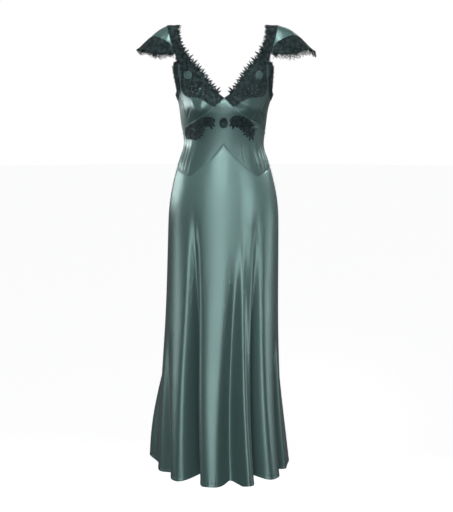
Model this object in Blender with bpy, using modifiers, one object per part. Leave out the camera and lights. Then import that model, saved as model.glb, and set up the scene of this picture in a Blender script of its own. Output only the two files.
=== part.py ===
"""A long satin slip dress with lace trim and cap sleeves, filled out as if worn, with nobody in it.

The dress faces -Y and hangs along -Z from the shoulders. The origin is midway between the two
shoulder points, on the line that the wearer's shoulders hold. +X is the wearer's left.

Every panel is a patch of one body form. The form is a stack of oval sections that turns with an
angle, 0 at the front centre, 90 degrees at the wearer's left side seam and 180 at the back centre,
and that drops with a distance below the shoulders. Panels are grids on the form, 0.3 mm apart at
their seams, with a wall on their outer side. Lace lies on its panel, moved out along the surface.
"""

import math

import bmesh
import bpy
import numpy as np

# Driving dimensions, in metres and degrees.
LENGTH = 1.377  # shoulder to hem at the front and back
SHOULDER_ROUND = 0.050  # drop over which the straps turn over the shoulder
UNDERARM_DROP = 0.215
HEM_RISE = 0.002  # how much higher the hem is at the side seams
HEM_LIFT = 0.20  # how much a fold lifts the hem, as a share of its depth
BACK_NECK_DIP = 0.030  # how far the back's top edge sags at its centre
SIDE_WAIST_DROP = 0.4260  # the waist seam at the side seams and all along the back
BUST_HEIGHT = 0.026  # how far the cups stand out from the oval sections
BUST_REACH = 0.048
BUST_REACH_DOWN = 0.034
BUST_SIDE = 0.080
BUST_DROP = 0.244
SATIN_WALL = 0.0012
LACE_WALL = 0.0010
SEAM_GAP = 0.0003
LAYER_GAP = 0.0018  # room between a panel and the lace on it
SLEEVE_GAP = 0.0024  # where a sleeve meets its strap at an angle
SIDE = 90.0
TURN = 360.0

# The body form: drop below the shoulders, half width, front depth, back depth, sideways sway.
SECTIONS = (
    (0.000, 0.2000, 0.075, 0.070, 0.000),
    (0.100, 0.1870, 0.090, 0.088, 0.001),
    (0.150, 0.1725, 0.102, 0.098, 0.003),
    (0.200, 0.1498, 0.110, 0.100, 0.0055),
    (0.246, 0.1352, 0.112, 0.096, 0.0038),
    (0.290, 0.1295, 0.105, 0.087, 0.003),
    (0.330, 0.1235, 0.099, 0.081, 0.004),
    (0.365, 0.1230, 0.097, 0.080, 0.003),
    (0.400, 0.1340, 0.100, 0.086, 0.003),
    (0.443, 0.1465, 0.106, 0.098, 0.003),
    (0.530, 0.1645, 0.117, 0.118, 0.003),
    (0.620, 0.1695, 0.126, 0.130, 0.002),
    (0.750, 0.1715, 0.141, 0.141, 0.000),
    (0.900, 0.1750, 0.157, 0.153, -0.003),
    (1.050, 0.1820, 0.175, 0.168, -0.006),
    (1.200, 0.1905, 0.194, 0.185, -0.006),
    (LENGTH, 0.2020, 0.214, 0.204, -0.001),
)

# Skirt folds: angle where the fold starts, angle at the hem, drop where it starts, depth at the
# hem, half width in degrees. A trough has a positive depth and a ridge a negative one.
FOLDS = (
    (-66, -64, 0.90, 0.026, 9.0),
    (-31, -29.6, 0.54, 0.086, 7.2),
    (-14, -13, 0.70, -0.004, 9),
    (13, 8.8, 0.64, 0.042, 7.9),
    (20, 22, 0.60, -0.020, 5.2),
    (37, 38, 0.56, 0.070, 6.2),
    (70, 73, 0.92, 0.040, 7.0),
    (110, 110, 0.90, -0.022, 11.0),
    (128, 131, 0.66, 0.058, 8.0),
    (153, 157, 0.60, 0.068, 8.0),
    (182, 184, 0.62, 0.072, 8.5),
    (211, 211, 0.58, 0.066, 8.0),
    (234, 233, 0.64, 0.058, 7.0),
    (246, 243, 0.98, -0.062, 10.0),
)
FOLD_START_WIDTH = 0.6  # a fold's width where it starts, as a share of its width at the hem
FOLD_EASE = 1.3  # above 1, a fold starts more gently

# Seams across the front: angle from the front centre, drop.
CUP_SEAM = (
    (0, 0.2175),
    (16, 0.2500),
    (27, 0.2680),
    (36, 0.2793),
    (46, 0.2893),
    (60, 0.3020),
    (75, 0.3160),
    (90, 0.3270),
)
WAIST_SEAM = (
    (0, 0.3560),
    (21, 0.4080),
    (33, 0.4340),
    (43, 0.4495),
    (54, 0.4435),
    (75, 0.4300),
    (90, SIDE_WAIST_DROP),
)

# Lace at the V neck, from its foot to the shoulder: share of its length, sideways, drop.
NECK_EDGE = (
    (0.00, 0.0006, 0.2150),
    (0.20, 0.0354, 0.1860),
    (0.40, 0.0628, 0.1455),
    (0.60, 0.0898, 0.1140),
    (0.75, 0.1116, 0.0870),
    (0.85, 0.1250, 0.0640),
    (0.93, 0.1355, 0.0380),
    (1.00, 0.1420, 0.0000),
)
LACE_EDGE = (
    (0.00, 0.0006, 0.2165),
    (0.10, 0.0290, 0.2370),
    (0.22, 0.0620, 0.2190),
    (0.36, 0.0960, 0.2110),
    (0.48, 0.1205, 0.2010),
    (0.56, 0.1262, 0.1800),
    (0.64, 0.1245, 0.1540),
    (0.72, 0.1265, 0.1270),
    (0.79, 0.1345, 0.1030),
    (0.85, 0.1435, 0.0800),
    (0.93, 0.1560, 0.0380),
    (1.00, 0.1665, 0.0000),
)
SLEEVE_SHARE = 0.88  # the sleeve is sewn on from here to the shoulder

# The cups' neck edge, under the lace: share of the cup's height, sideways, drop.
CUP_NECK_EDGE = (
    (0.00, 0.0006, 0.2170),
    (0.33, 0.0400, 0.1830),
    (0.66, 0.0780, 0.1400),
    (1.00, 0.1080, 0.1120),
)
CUP_SIDE_SHARE = 0.45  # the side seam's share of the cup's outer edge; the rest is armhole

# The front of the armhole, from the sleeve to the underarm: share of its length, angle, drop.
ARMHOLE = (
    (0.00, 50.5, 0.1080),
    (0.20, 53.0, 0.1320),
    (0.45, 56.5, 0.1600),
    (0.70, 63.0, 0.1880),
    (0.88, 74.0, 0.2070),
    (1.00, SIDE, UNDERARM_DROP),
)
ARMHOLE_CUP_START = 0.08  # share of the armhole where the satin begins
ARMHOLE_LACE_INSIDE = 0.009
ARMHOLE_LACE_OUTSIDE = 0.007
ARMHOLE_LACE_FOOT = 0.35  # share of the outside reach that is left at the underarm
ARMHOLE_LACE_TAPER = 0.16  # how far down from the top that reach grows from nothing
ARMHOLE_LACE_LEAST = 0.05  # share of that reach at the very top
ARMHOLE_LACE_GROWN = 0.35  # how far up the armhole that reach is whole

# The back strap, from the back panel to the height of the sleeve and on to the shoulder:
# share, sideways. The outer edge above SLEEVE_SHARE is the sleeve's seam.
STRAP_INNER = (
    (0.00, 0.0800, UNDERARM_DROP),
    (0.40, 0.0980, 0.1500),
    (0.65, 0.1180, 0.0950),
    (0.84, 0.1350, 0.0450),
    (1.00, 0.1420, 0.0000),
)
STRAP_OUTER = ((0.00, 0.1220, UNDERARM_DROP), (0.35, 0.1340, 0.1500), (0.60, 0.1435, 0.0800))
STRAP_SLEEVE_SHARE = 0.60
STRAP_FOOT_SHARE = 0.40  # over this share, its foot comes to follow the back panel's top edge

# Cap sleeves: how far along the hem from the tip, sideways, forwards, drop.
SLEEVE_HEM_RIGHT = (
    (0.0, 0.2560, 0.000, 0.0690),
    (0.3, 0.2330, 0.034, 0.0680),
    (0.6, 0.2010, 0.056, 0.0800),
    (0.8, 0.1750, 0.064, 0.0800),
    (1.0, 0.1500, 0.062, 0.0840),
)
SLEEVE_HEM_LEFT = (
    (0.0, 0.2750, 0.000, 0.0740),
    (0.3, 0.2460, 0.036, 0.0660),
    (0.6, 0.2090, 0.058, 0.0790),
    (0.8, 0.1790, 0.064, 0.0800),
    (1.0, 0.1500, 0.062, 0.0840),
)
SLEEVE_CROWN_RIGHT = 0.045  # height of the sleeve's crown as a share of its length
SLEEVE_CROWN_LEFT = 0.090
SLEEVE_CROWN_PLACE = 1.5  # above 1, the crown is nearer the shoulder than the hem
SLEEVE_CROWN_OUT = 0.5  # how far the crown goes outwards as it rises by 1
SLEEVE_CROWN_LEAN = 0.8  # how far the crown leans out at the sleeve's two ends
SLEEVE_CROWN_SINK = 0.6  # and how much less it rises there
SLEEVE_LACE_START = 0.62  # shares of the sleeve's length that its lace covers at the tip
SLEEVE_LACE_END = 1.06
SLEEVE_LACE_ROUND = 0.94  # its share of the way round the shoulder
SLEEVE_LACE_SPREAD = 0.40  # how much further in the lace starts at the sleeve's two ends

# Lace under each cup: angle, drop of its top edge below the cup seam, its own height.
MIDRIFF_LACE_RIGHT = (
    (11, 0.0380, 0.007),
    (18, 0.0200, 0.026),
    (25, 0.0085, 0.026),
    (36, 0.0060, 0.045),
    (47, 0.0050, 0.043),
    (58, 0.0050, 0.030),
    (70, 0.0050, 0.014),
)
MIDRIFF_LACE_LEFT = (
    (8, 0.0440, 0.008),
    (13, 0.0280, 0.026),
    (20, 0.0130, 0.029),
    (28, 0.0070, 0.034),
    (36, 0.0060, 0.044),
    (42, 0.0100, 0.038),
    (47, 0.0240, 0.014),
)
MOTIF_DROP = 0.2740  # the drop-shaped motif at the front centre
MOTIF_HEIGHT = 0.031
MOTIF_HALF_WIDTH = 0.0115
MOTIF_POINT = 0.001  # half width left at its point
MOTIF_FULLNESS = 1.9
MOTIF_FOOT = 0.06  # how much of its width is left at its foot

# Grid sizes: columns round each half of the body, and rows up each panel.
FRONT_COLUMNS = 48
CUP_COLUMNS = FRONT_COLUMNS // 2
SKIRT_BACK_COLUMNS = 56
SKIRT_ROWS = 7
ROW_SPREAD = 1.4  # above 1, rows are closer together towards a panel's top
MIDRIFF_ROWS = 5
CUP_ROWS = 7
BACK_COLUMNS = 20
BACK_ROWS = 4


def spline(stations, at):
    """Values of the smooth curve through stations (position, value, ...), as one array for each value."""
    table = np.asarray(stations, float)
    place, at = table[:, 0], np.asarray(at, float)
    step = np.diff(place)
    count = len(place)
    system = np.eye(count)
    for i in range(1, count - 1):
        system[i, i - 1 : i + 2] = step[i - 1], 2 * (step[i - 1] + step[i]), step[i]
    i = np.clip(np.searchsorted(place, at) - 1, 0, count - 2)
    after, before = at - place[i], place[i + 1] - at
    found = []
    for value in table[:, 1:].T:
        slope = np.diff(value) / step
        change = np.concatenate([[0], 6 * np.diff(slope), [0]])
        bend = np.linalg.solve(system, change)
        found.append(
            (bend[i] * before**3 + bend[i + 1] * after**3) / (6 * step[i])
            + (value[i] / step[i] - bend[i] * step[i] / 6) * before
            + (value[i + 1] / step[i] - bend[i + 1] * step[i] / 6) * after
        )
    return found


def fold_depth(angle, drop):
    """How far the skirt's folds pull the form inwards."""
    inwards = np.zeros_like(angle)
    for start_angle, hem_angle, start, depth, half_width in FOLDS:
        grown = np.clip((drop - start) / (LENGTH - start), 0, 1)
        centre = start_angle + (hem_angle - start_angle) * grown
        away = (angle - centre + TURN / 2) % TURN - TURN / 2
        width = half_width * (FOLD_START_WIDTH + (1 - FOLD_START_WIDTH) * grown)
        eased = np.sin(grown * math.pi / 2) ** FOLD_EASE
        inwards += depth * eased * np.exp(-((away / width) ** 2))
    return inwards


def form(angle, drop):
    """Points on the body form, for angles in degrees and drops in metres."""
    angle, drop = np.broadcast_arrays(np.asarray(angle, float), np.asarray(drop, float))
    half_width, front, back, sway = spline(SECTIONS, drop)
    turn = np.radians(angle)
    forwards = np.cos(turn)
    rounding = np.sqrt(1 - (1 - np.clip(drop / SHOULDER_ROUND, 0, 1)) ** 2)
    depth = np.where(forwards >= 0, front, back) * rounding
    inwards = fold_depth(angle, drop)
    normal_x, normal_y = depth * np.sin(turn), half_width * forwards
    length = np.maximum(np.hypot(normal_x, normal_y), 1e-9)
    x = half_width * np.sin(turn) + sway - inwards * normal_x / length
    y = -depth * forwards + inwards * normal_y / length
    reach = np.where(drop > BUST_DROP, BUST_REACH_DOWN, BUST_REACH)
    for side in (-1, 1):
        away = ((x - sway - side * BUST_SIDE) / BUST_REACH) ** 2
        away = away + ((drop - BUST_DROP) / reach) ** 2
        y = y - BUST_HEIGHT * np.exp(-away) * np.clip(forwards * 3, 0, 1)
    return np.stack([x, y, -drop], axis=-1)


def angle_at(sideways, drop):
    """The front angle at which the form is this far sideways."""
    return np.degrees(np.arcsin(np.clip(sideways / spline(SECTIONS, drop)[0], -1, 1)))


def raised(point, height):
    """The patch moved out by height along its own normal."""

    def moved(u, v):
        nudge = 1e-4
        along = point(u + nudge, v) - point(u - nudge, v)
        up = point(u, v + nudge) - point(u, v - nudge)
        normal = np.cross(along, up)
        length = np.maximum(np.linalg.norm(normal, axis=-1, keepdims=True), 1e-12)
        return point(u, v) + normal / length * height

    return moved


def mirrored(point, side):
    """The patch itself on the wearer's left, and its image across the form's middle on the right."""
    if side > 0:
        return point

    def image(u, v):
        points = point(1 - u, v)
        sway = spline(SECTIONS, np.maximum(-points[..., 2], 0))[3]
        across = 2 * sway - points[..., 0]
        return np.stack([across, points[..., 1], points[..., 2]], axis=-1)

    return image


def front_seam(points):
    """The same points, clear of the side and shoulder seams towards the front."""
    return points - (0, SEAM_GAP / 2, 0)


def back_seam(points):
    """The same points, clear of the side and shoulder seams towards the back."""
    return points + (0, SEAM_GAP / 2, 0)


def skirt_drop(angle, top, v):
    """Drops from the hem, which rises to the side seams and in the folds, up to the skirt's top."""
    rise = HEM_RISE * np.sin(np.radians(angle)) ** 2 + HEM_LIFT * np.abs(fold_depth(angle, LENGTH))
    return top + (LENGTH - rise - top) * (1 - v) ** ROW_SPREAD


def skirt_front(u, v):
    angle = SIDE * (2 * u - 1)
    top = spline(WAIST_SEAM, np.abs(angle))[0] + SEAM_GAP
    return front_seam(form(angle, skirt_drop(angle, top, v)))


def skirt_back(u, v):
    angle = SIDE * (2 * u + 1)
    top = SIDE_WAIST_DROP + SEAM_GAP
    return back_seam(form(angle, skirt_drop(angle, top, v)))


def midriff(u, v):
    angle = SIDE * (2 * u - 1)
    bottom = spline(WAIST_SEAM, np.abs(angle))[0]
    top = spline(CUP_SEAM, np.abs(angle))[0] + SEAM_GAP
    return front_seam(form(angle, top + (bottom - top) * (1 - v) ** ROW_SPREAD))


def back_top(angle):
    """Drop of the back panel's top edge."""
    return UNDERARM_DROP + BACK_NECK_DIP * np.cos(np.radians(angle)) ** 2


def bodice_back(u, v):
    angle = SIDE * (2 * u + 1)
    return back_seam(form(angle, SIDE_WAIST_DROP + (back_top(angle) - SIDE_WAIST_DROP) * v))


def cup_outer_edge(v):
    """Angle and drop of the cup's side seam and, above it, of the armhole."""
    seam_share = np.clip(v / CUP_SIDE_SHARE, 0, 1)
    rising = np.clip((v - CUP_SIDE_SHARE) / (1 - CUP_SIDE_SHARE), 0, 1)
    angle, drop = spline(ARMHOLE, 1 - rising * (1 - ARMHOLE_CUP_START))
    below = CUP_SEAM[-1][1] + (UNDERARM_DROP - CUP_SEAM[-1][1]) * seam_share
    return angle, np.where(v < CUP_SIDE_SHARE, below, drop)


def cup(u, v):
    neck_x, neck_drop = spline(CUP_NECK_EDGE, v)
    neck_angle = angle_at(neck_x, neck_drop)
    side_angle, side_drop = cup_outer_edge(v)
    angle = neck_angle + (side_angle - neck_angle) * u
    straight = CUP_NECK_EDGE[0][2] + (CUP_SEAM[-1][1] - CUP_NECK_EDGE[0][2]) * u
    to_seam = spline(CUP_SEAM, SIDE * u)[0] - straight
    drop = neck_drop + (side_drop - neck_drop) * u + to_seam * (1 - v) ** 2
    return front_seam(form(angle, drop))


def neck_lace(u, v):
    """The lace at one side of the V neck: u from the neck edge outwards, v up to the shoulder."""
    share = np.sin(v * math.pi / 2)
    near_x, near_drop = spline(NECK_EDGE, share)
    far_x, far_drop = spline(LACE_EDGE, share)
    drop = np.maximum(near_drop + (far_drop - near_drop) * u, 0)
    return front_seam(form(angle_at(near_x + (far_x - near_x) * u, drop), drop))


def strap_back(u, v):
    share = np.sin(v * math.pi / 2)
    near_x, near_drop = spline(STRAP_INNER, share)
    sleeve_share = 1 - (1 - share) / (1 - STRAP_SLEEVE_SHARE) * (1 - SLEEVE_SHARE)
    high = spline(LACE_EDGE, np.clip(sleeve_share, SLEEVE_SHARE, 1))
    low = spline(STRAP_OUTER, np.clip(share, 0, STRAP_SLEEVE_SHARE))
    far_x, far_drop = (np.where(share > STRAP_SLEEVE_SHARE, h, l) for h, l in zip(high, low))
    drop = np.maximum(far_drop + (near_drop - far_drop) * u, 0)
    angle = 2 * SIDE - angle_at(far_x + (near_x - far_x) * u, drop)
    foot = back_top(angle) - SEAM_GAP - UNDERARM_DROP
    return back_seam(form(angle, drop + foot * np.clip(1 - share / STRAP_FOOT_SHARE, 0, 1)))


def armhole_lace(u, v):
    """A strip across the armhole's edge: u runs outwards from the satin, v up from the underarm."""
    nudge = 1e-3

    def edge(share):
        return front_seam(form(*spline(ARMHOLE, np.clip(share, 0, 1))))

    share = 1 - v
    angle, drop = spline(ARMHOLE, share)
    along = edge(share - nudge) - edge(share + nudge)
    round_body = form(angle + 0.1, drop) - form(angle - 0.1, drop)
    down_body = form(angle, drop - 1e-4) - form(angle, drop + 1e-4)
    normal = np.cross(round_body, down_body)
    outwards = np.cross(along, normal)
    outwards /= np.linalg.norm(outwards, axis=-1, keepdims=True)
    grown = np.clip(v / ARMHOLE_LACE_GROWN, 0, 1)
    outside = ARMHOLE_LACE_OUTSIDE * (ARMHOLE_LACE_FOOT + (1 - ARMHOLE_LACE_FOOT) * grown)
    outside = outside * np.clip((1 - v) / ARMHOLE_LACE_TAPER, ARMHOLE_LACE_LEAST, 1)
    reach = -ARMHOLE_LACE_INSIDE + (ARMHOLE_LACE_INSIDE + outside) * u
    return edge(share) + outwards * reach[..., None]


def sleeve(hem, crown):
    """The cap sleeve: u runs from front to back over the shoulder, v from the hem up to the seam."""

    def point(u, v):
        from_tip = np.abs(2 * u - 1)
        backwards = np.where(u > 0.5, 1.0, -1.0)
        seam_x, seam_drop = spline(LACE_EDGE, 1 - (1 - SLEEVE_SHARE) * from_tip**2)
        seam_drop = np.maximum(seam_drop, 0)
        angle = angle_at(seam_x, seam_drop)
        seam = form(np.where(backwards > 0, 2 * SIDE - angle, angle), seam_drop)
        seam = seam + (SLEEVE_GAP, 0, 0)
        hem_x, hem_forwards, hem_drop = spline(hem, from_tip)
        rim = np.stack([hem_x, hem_forwards * backwards, -hem_drop], axis=-1)
        chord = rim - seam
        length = np.linalg.norm(chord, axis=-1)
        outwards = np.full_like(length, SLEEVE_CROWN_OUT)
        lean = backwards * from_tip * SLEEVE_CROWN_LEAN
        up = np.stack([outwards, lean, 1 - SLEEVE_CROWN_SINK * from_tip], axis=-1)
        rise = crown * np.sin(math.pi * np.clip(v, 0, 1) ** SLEEVE_CROWN_PLACE) * length
        return seam + chord * (1 - v)[..., None] + up * rise[..., None]

    return point


def sleeve_lace(hem, crown):
    """The lace over the outer part of the sleeve, a little past its hem."""
    satin = sleeve(hem, crown)

    def point(u, v):
        start = SLEEVE_LACE_START - SLEEVE_LACE_SPREAD * np.abs(2 * u - 1)
        share = SLEEVE_LACE_END + (start - SLEEVE_LACE_END) * v
        return satin(0.5 + (u - 0.5) * SLEEVE_LACE_ROUND, 1 - share)

    return raised(point, SATIN_WALL + LAYER_GAP)


def midriff_lace(outline):
    """The lace under a cup, for the wearer's left side."""

    def point(u, v):
        angle = outline[0][0] + (outline[-1][0] - outline[0][0]) * u
        below, height = spline(outline, angle)
        return form(angle, spline(CUP_SEAM, angle)[0] + below + height * (1 - v))

    return raised(point, SATIN_WALL + LAYER_GAP)


def motif(u, v):
    """A drop shape, pointed at its top."""
    height = np.clip(v, 0, 1)
    swell = np.sqrt((MOTIF_FOOT + height) * (1 - height)) * MOTIF_FULLNESS
    half_width = MOTIF_HALF_WIDTH * swell + MOTIF_POINT
    drop = MOTIF_DROP + MOTIF_HEIGHT * (1 - v)
    return form(angle_at((2 * u - 1) * half_width, drop), drop)


def satin_material():
    return material("satin", (0.098, 0.185, 0.175), 0.32)


def lace_material():
    return material("lace", (0.022, 0.040, 0.042), 0.72)


def material(name, colour, roughness):
    made = bpy.data.materials.new(name)
    made.use_nodes = True
    shader = made.node_tree.nodes["Principled BSDF"]
    shader.inputs["Base Color"].default_value = (*colour, 1)
    shader.inputs["Roughness"].default_value = roughness
    made.diffuse_color = (*colour, 1)
    return made


def panel(name, point, columns, rows, wall, finish, collection):
    """A grid on the patch, given its wall on the outer side."""
    shape = bmesh.new()
    bmesh.ops.create_grid(shape, x_segments=columns, y_segments=rows, size=0.5)
    shape.verts.ensure_lookup_table()
    flat = np.array([vertex.co for vertex in shape.verts])
    for vertex, place in zip(shape.verts, point(flat[:, 0] + 0.5, flat[:, 1] + 0.5)):
        vertex.co = place
    mesh = bpy.data.meshes.new(name)
    shape.to_mesh(mesh)
    shape.free()
    mesh.shade_smooth()
    mesh.materials.append(finish)
    made = bpy.data.objects.new(name, mesh)
    solidify = made.modifiers.new("wall", "SOLIDIFY")
    solidify.thickness = wall
    solidify.offset = 1
    collection.objects.link(made)
    return made


def clear_scene():
    for old in list(bpy.data.objects):
        bpy.data.objects.remove(old)


def main():
    clear_scene()
    dress = bpy.data.collections.new("slip_dress")
    bpy.context.scene.collection.children.link(dress)
    satin, lace = satin_material(), lace_material()
    panel("skirt_front", skirt_front, FRONT_COLUMNS, SKIRT_ROWS, SATIN_WALL, satin, dress)
    panel("skirt_back", skirt_back, SKIRT_BACK_COLUMNS, SKIRT_ROWS, SATIN_WALL, satin, dress)
    panel("midriff_front", midriff, FRONT_COLUMNS, MIDRIFF_ROWS, SATIN_WALL, satin, dress)
    panel("bodice_back", bodice_back, BACK_COLUMNS, BACK_ROWS, SATIN_WALL, satin, dress)
    on_satin = SATIN_WALL + LAYER_GAP
    sleeves = {1: (SLEEVE_HEM_LEFT, SLEEVE_CROWN_LEFT), -1: (SLEEVE_HEM_RIGHT, SLEEVE_CROWN_RIGHT)}
    under_cups = {1: MIDRIFF_LACE_LEFT, -1: MIDRIFF_LACE_RIGHT}
    for side, word in ((1, "left"), (-1, "right")):
        pieces = (
            ("cup", cup, CUP_COLUMNS, CUP_ROWS, SATIN_WALL, satin),
            ("neck_lace", raised(neck_lace, on_satin), 6, 20, LACE_WALL, lace),
            ("strap_back", raised(strap_back, on_satin), 2, 10, LACE_WALL, lace),
            ("armhole_lace", raised(armhole_lace, on_satin), 2, 12, LACE_WALL, lace),
            ("cap_sleeve", sleeve(*sleeves[side]), 12, 5, SATIN_WALL, satin),
            ("sleeve_lace", sleeve_lace(*sleeves[side]), 12, 3, LACE_WALL, lace),
            ("midriff_lace", midriff_lace(under_cups[side]), 12, 4, LACE_WALL, lace),
        )
        for name, point, columns, rows, wall, finish in pieces:
            panel(f"{name}_{word}", mirrored(point, side), columns, rows, wall, finish, dress)
    panel("midriff_motif", raised(motif, on_satin), 4, 6, LACE_WALL, lace, dress)


main()
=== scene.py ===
"""The looks of a long satin slip dress with lace trim and cap sleeves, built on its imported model.

The dress faces -Y and hangs along -Z from the shoulders, and +X is the wearer's left. Every satin
panel is a fine grid on the body form, with its creases and seams worked in, and a thin wall. Every
lace piece is a thin ground of tulle with its leaves, flowers, cords and edge loops standing on it.
"""

import logging
import math
from dataclasses import dataclass, field
from enum import Enum
from typing import Any, Callable, Sequence

import bpy
import numpy as np
from mathutils import Matrix


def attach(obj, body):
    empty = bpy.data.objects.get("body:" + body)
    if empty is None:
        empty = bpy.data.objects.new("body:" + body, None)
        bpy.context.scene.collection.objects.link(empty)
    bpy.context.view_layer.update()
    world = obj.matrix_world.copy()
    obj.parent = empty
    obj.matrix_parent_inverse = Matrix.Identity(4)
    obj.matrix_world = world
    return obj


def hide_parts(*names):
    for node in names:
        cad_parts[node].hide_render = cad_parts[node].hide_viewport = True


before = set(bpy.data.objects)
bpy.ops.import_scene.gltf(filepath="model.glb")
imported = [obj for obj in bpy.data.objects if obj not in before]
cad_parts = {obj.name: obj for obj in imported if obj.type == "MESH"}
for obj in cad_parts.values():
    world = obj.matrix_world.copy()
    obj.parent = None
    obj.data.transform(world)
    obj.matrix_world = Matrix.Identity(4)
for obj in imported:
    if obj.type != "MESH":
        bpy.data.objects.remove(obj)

Array = np.ndarray
Patch = Callable[[Array, Array], Array]
Places = Callable[[Array, Array], tuple[Array, Array]]

LOG = logging.getLogger("slip_dress")
BODY = "root"
SIDE = 90.0
TURN = 360.0
SEAM_GAP = 0.0003
SLEEVE_GAP = 0.0004
UNDERARM_DROP = 0.215
SIDE_WAIST_DROP = 0.4260
LENGTH = 1.377


class Side(Enum):
    """Which side of the wearer a piece is on."""

    LEFT = 1
    RIGHT = -1

    @property
    def word(self) -> str:
        """The side's name in a piece's name."""
        return self.name.lower()


class Slot(Enum):
    """The record's material slots."""

    SATIN = "satin"
    LACE = "lace"


# ---------------------------------------------------------------- curves and grids


class Curve:
    """The smooth curve through stations (position, value, ...), a natural cubic spline."""

    def __init__(self, stations: Sequence[Sequence[float]]) -> None:
        """Solves the spline's bending at every station.

        Args:
            stations: rows of a position and one or more values, by rising position.
        """
        table = np.asarray(stations, float)
        self.place = table[:, 0]
        self.values = table[:, 1:]
        self.step = np.diff(self.place)
        count = len(self.place)
        system = np.eye(count)
        for i in range(1, count - 1):
            system[i, i - 1 : i + 2] = (
                self.step[i - 1],
                2 * (self.step[i - 1] + self.step[i]),
                self.step[i],
            )
        slope = np.diff(self.values, axis=0) / self.step[:, None]
        change = np.zeros_like(self.values)
        change[1:-1] = 6 * np.diff(slope, axis=0)
        self.bend = np.linalg.solve(system, change)

    def __call__(self, at: Array) -> list[Array]:
        """Reads the curve.

        Args:
            at: positions along the curve.

        Returns:
            One array for each value of the stations.
        """
        at = np.asarray(at, float)
        i = np.clip(np.searchsorted(self.place, at) - 1, 0, len(self.place) - 2)
        step = self.step[i]
        after, before = at - self.place[i], self.place[i + 1] - at
        found = []
        for value, bend in zip(self.values.T, self.bend.T):
            found.append(
                (bend[i] * before**3 + bend[i + 1] * after**3) / (6 * step)
                + (value[i] / step - bend[i] * step / 6) * before
                + (value[i + 1] / step - bend[i + 1] * step / 6) * after
            )
        return found

    def first(self, at: Array) -> Array:
        """The curve's first value at these positions."""
        return self(at)[0]


def unit(vectors: Array) -> Array:
    """The vectors at length one."""
    return vectors / np.maximum(np.linalg.norm(vectors, axis=-1, keepdims=True), 1e-12)


def bell(at: Array, centre: float, width: float) -> Array:
    """A rounded bump of height 1: e to the minus squared distance over width."""
    return np.exp(-(((at - centre) / width) ** 2))


def ramp(at: Array, start: float, end: float) -> Array:
    """A smooth step from 0 at start to 1 at end, along 3t^2 - 2t^3."""
    t = np.clip((at - start) / (end - start), 0, 1)
    return t * t * (3 - 2 * t)


def raised(point: Patch, height: float) -> Patch:
    """The patch moved out by height along its own normal."""

    def moved(u: Array, v: Array) -> Array:
        """The point plus height times the cross product of the patch's two directions."""
        nudge = 1e-4
        along = point(u + nudge, v) - point(u - nudge, v)
        up = point(u, v + nudge) - point(u, v - nudge)
        return point(u, v) + unit(np.cross(along, up)) * height

    return moved


def imaged(points: Array, side: Side) -> Array:
    """Points as they are on the wearer's left, or their image across the form's middle."""
    if side is Side.LEFT:
        return points
    sway = SECTIONS(np.maximum(-points[..., 2], 0))[3]
    return np.stack([2 * sway - points[..., 0], points[..., 1], points[..., 2]], axis=-1)


def mirrored(point: Patch, side: Side) -> Patch:
    """The patch itself on the wearer's left, and its image across the form's middle on the right."""
    if side is Side.LEFT:
        return point
    return lambda u, v: imaged(point(1 - u, v), side)


def spread(count: int, extra: Sequence[float] = ()) -> Array:
    """Even shares from 0 to 1 with some more put in, in rising order and none too close."""
    shares = np.union1d(np.linspace(0, 1, count), np.asarray(extra, float))
    keep = np.concatenate([[True], np.diff(shares) > 2e-4])
    return shares[keep]


# ---------------------------------------------------------------- meshes


@dataclass
class Cut:
    """The flat size that a sheet of cloth was cut to, in metres and square metres."""

    width: float
    length: float
    area: float


@dataclass
class Shape:
    """Faces gathered for one mesh: points, faces of four and of three corners, and a UV each point."""

    points: list[Array] = field(default_factory=list)
    fours: list[Array] = field(default_factory=list)
    threes: list[Array] = field(default_factory=list)
    layout: list[Array] = field(default_factory=list)
    count: int = 0

    def add(
        self, points: Array, fours: Array, threes: Array | None = None, layout: Array | None = None
    ) -> None:
        """Adds a surface.

        Args:
            points: its points, n by 3.
            fours: its four-cornered faces, as indices of those points.
            threes: its three-cornered faces.
            layout: its UV, n by 2, in metres.
        """
        self.points.append(points)
        self.fours.append(np.asarray(fours, int).reshape(-1, 4) + self.count)
        if threes is not None:
            self.threes.append(np.asarray(threes, int).reshape(-1, 3) + self.count)
        self.layout.append(np.zeros((len(points), 2)) if layout is None else layout)
        self.count += len(points)

    def object(self, name: str) -> bpy.types.Object:
        """Makes the mesh and its object, smooth, with the UV map "cloth".

        Args:
            name: the piece's name.

        Returns:
            The object, linked to the scene.
        """
        points = np.concatenate(self.points)
        fours = np.concatenate(self.fours) if self.fours else np.zeros((0, 4), int)
        threes = np.concatenate(self.threes) if self.threes else np.zeros((0, 3), int)
        corners = np.concatenate([fours.ravel(), threes.ravel()])
        sizes = np.concatenate([np.full(len(fours), 4), np.full(len(threes), 3)])
        mesh = bpy.data.meshes.new(name)
        mesh.vertices.add(len(points))
        mesh.vertices.foreach_set("co", points.astype(np.float32).ravel())
        mesh.loops.add(len(corners))
        mesh.loops.foreach_set("vertex_index", corners.astype(np.int32))
        mesh.polygons.add(len(sizes))
        starts = np.concatenate([[0], np.cumsum(sizes)[:-1]])
        mesh.polygons.foreach_set("loop_start", starts.astype(np.int32))
        mesh.polygons.foreach_set("use_smooth", np.ones(len(sizes), bool))
        mesh.update(calc_edges=True)
        uv = mesh.uv_layers.new(name="cloth")
        uv.data.foreach_set("uv", np.concatenate(self.layout)[corners].astype(np.float32).ravel())
        made = bpy.data.objects.new(name, mesh)
        bpy.context.scene.collection.objects.link(made)
        return made


def grid_faces(rows: int, columns: int) -> Array:
    """The faces of a grid of points in rows, each facing where across times up points."""
    first = (np.arange(rows - 1)[:, None] * columns + np.arange(columns - 1)).ravel()
    return np.stack([first, first + 1, first + columns + 1, first + columns], axis=1)


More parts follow.
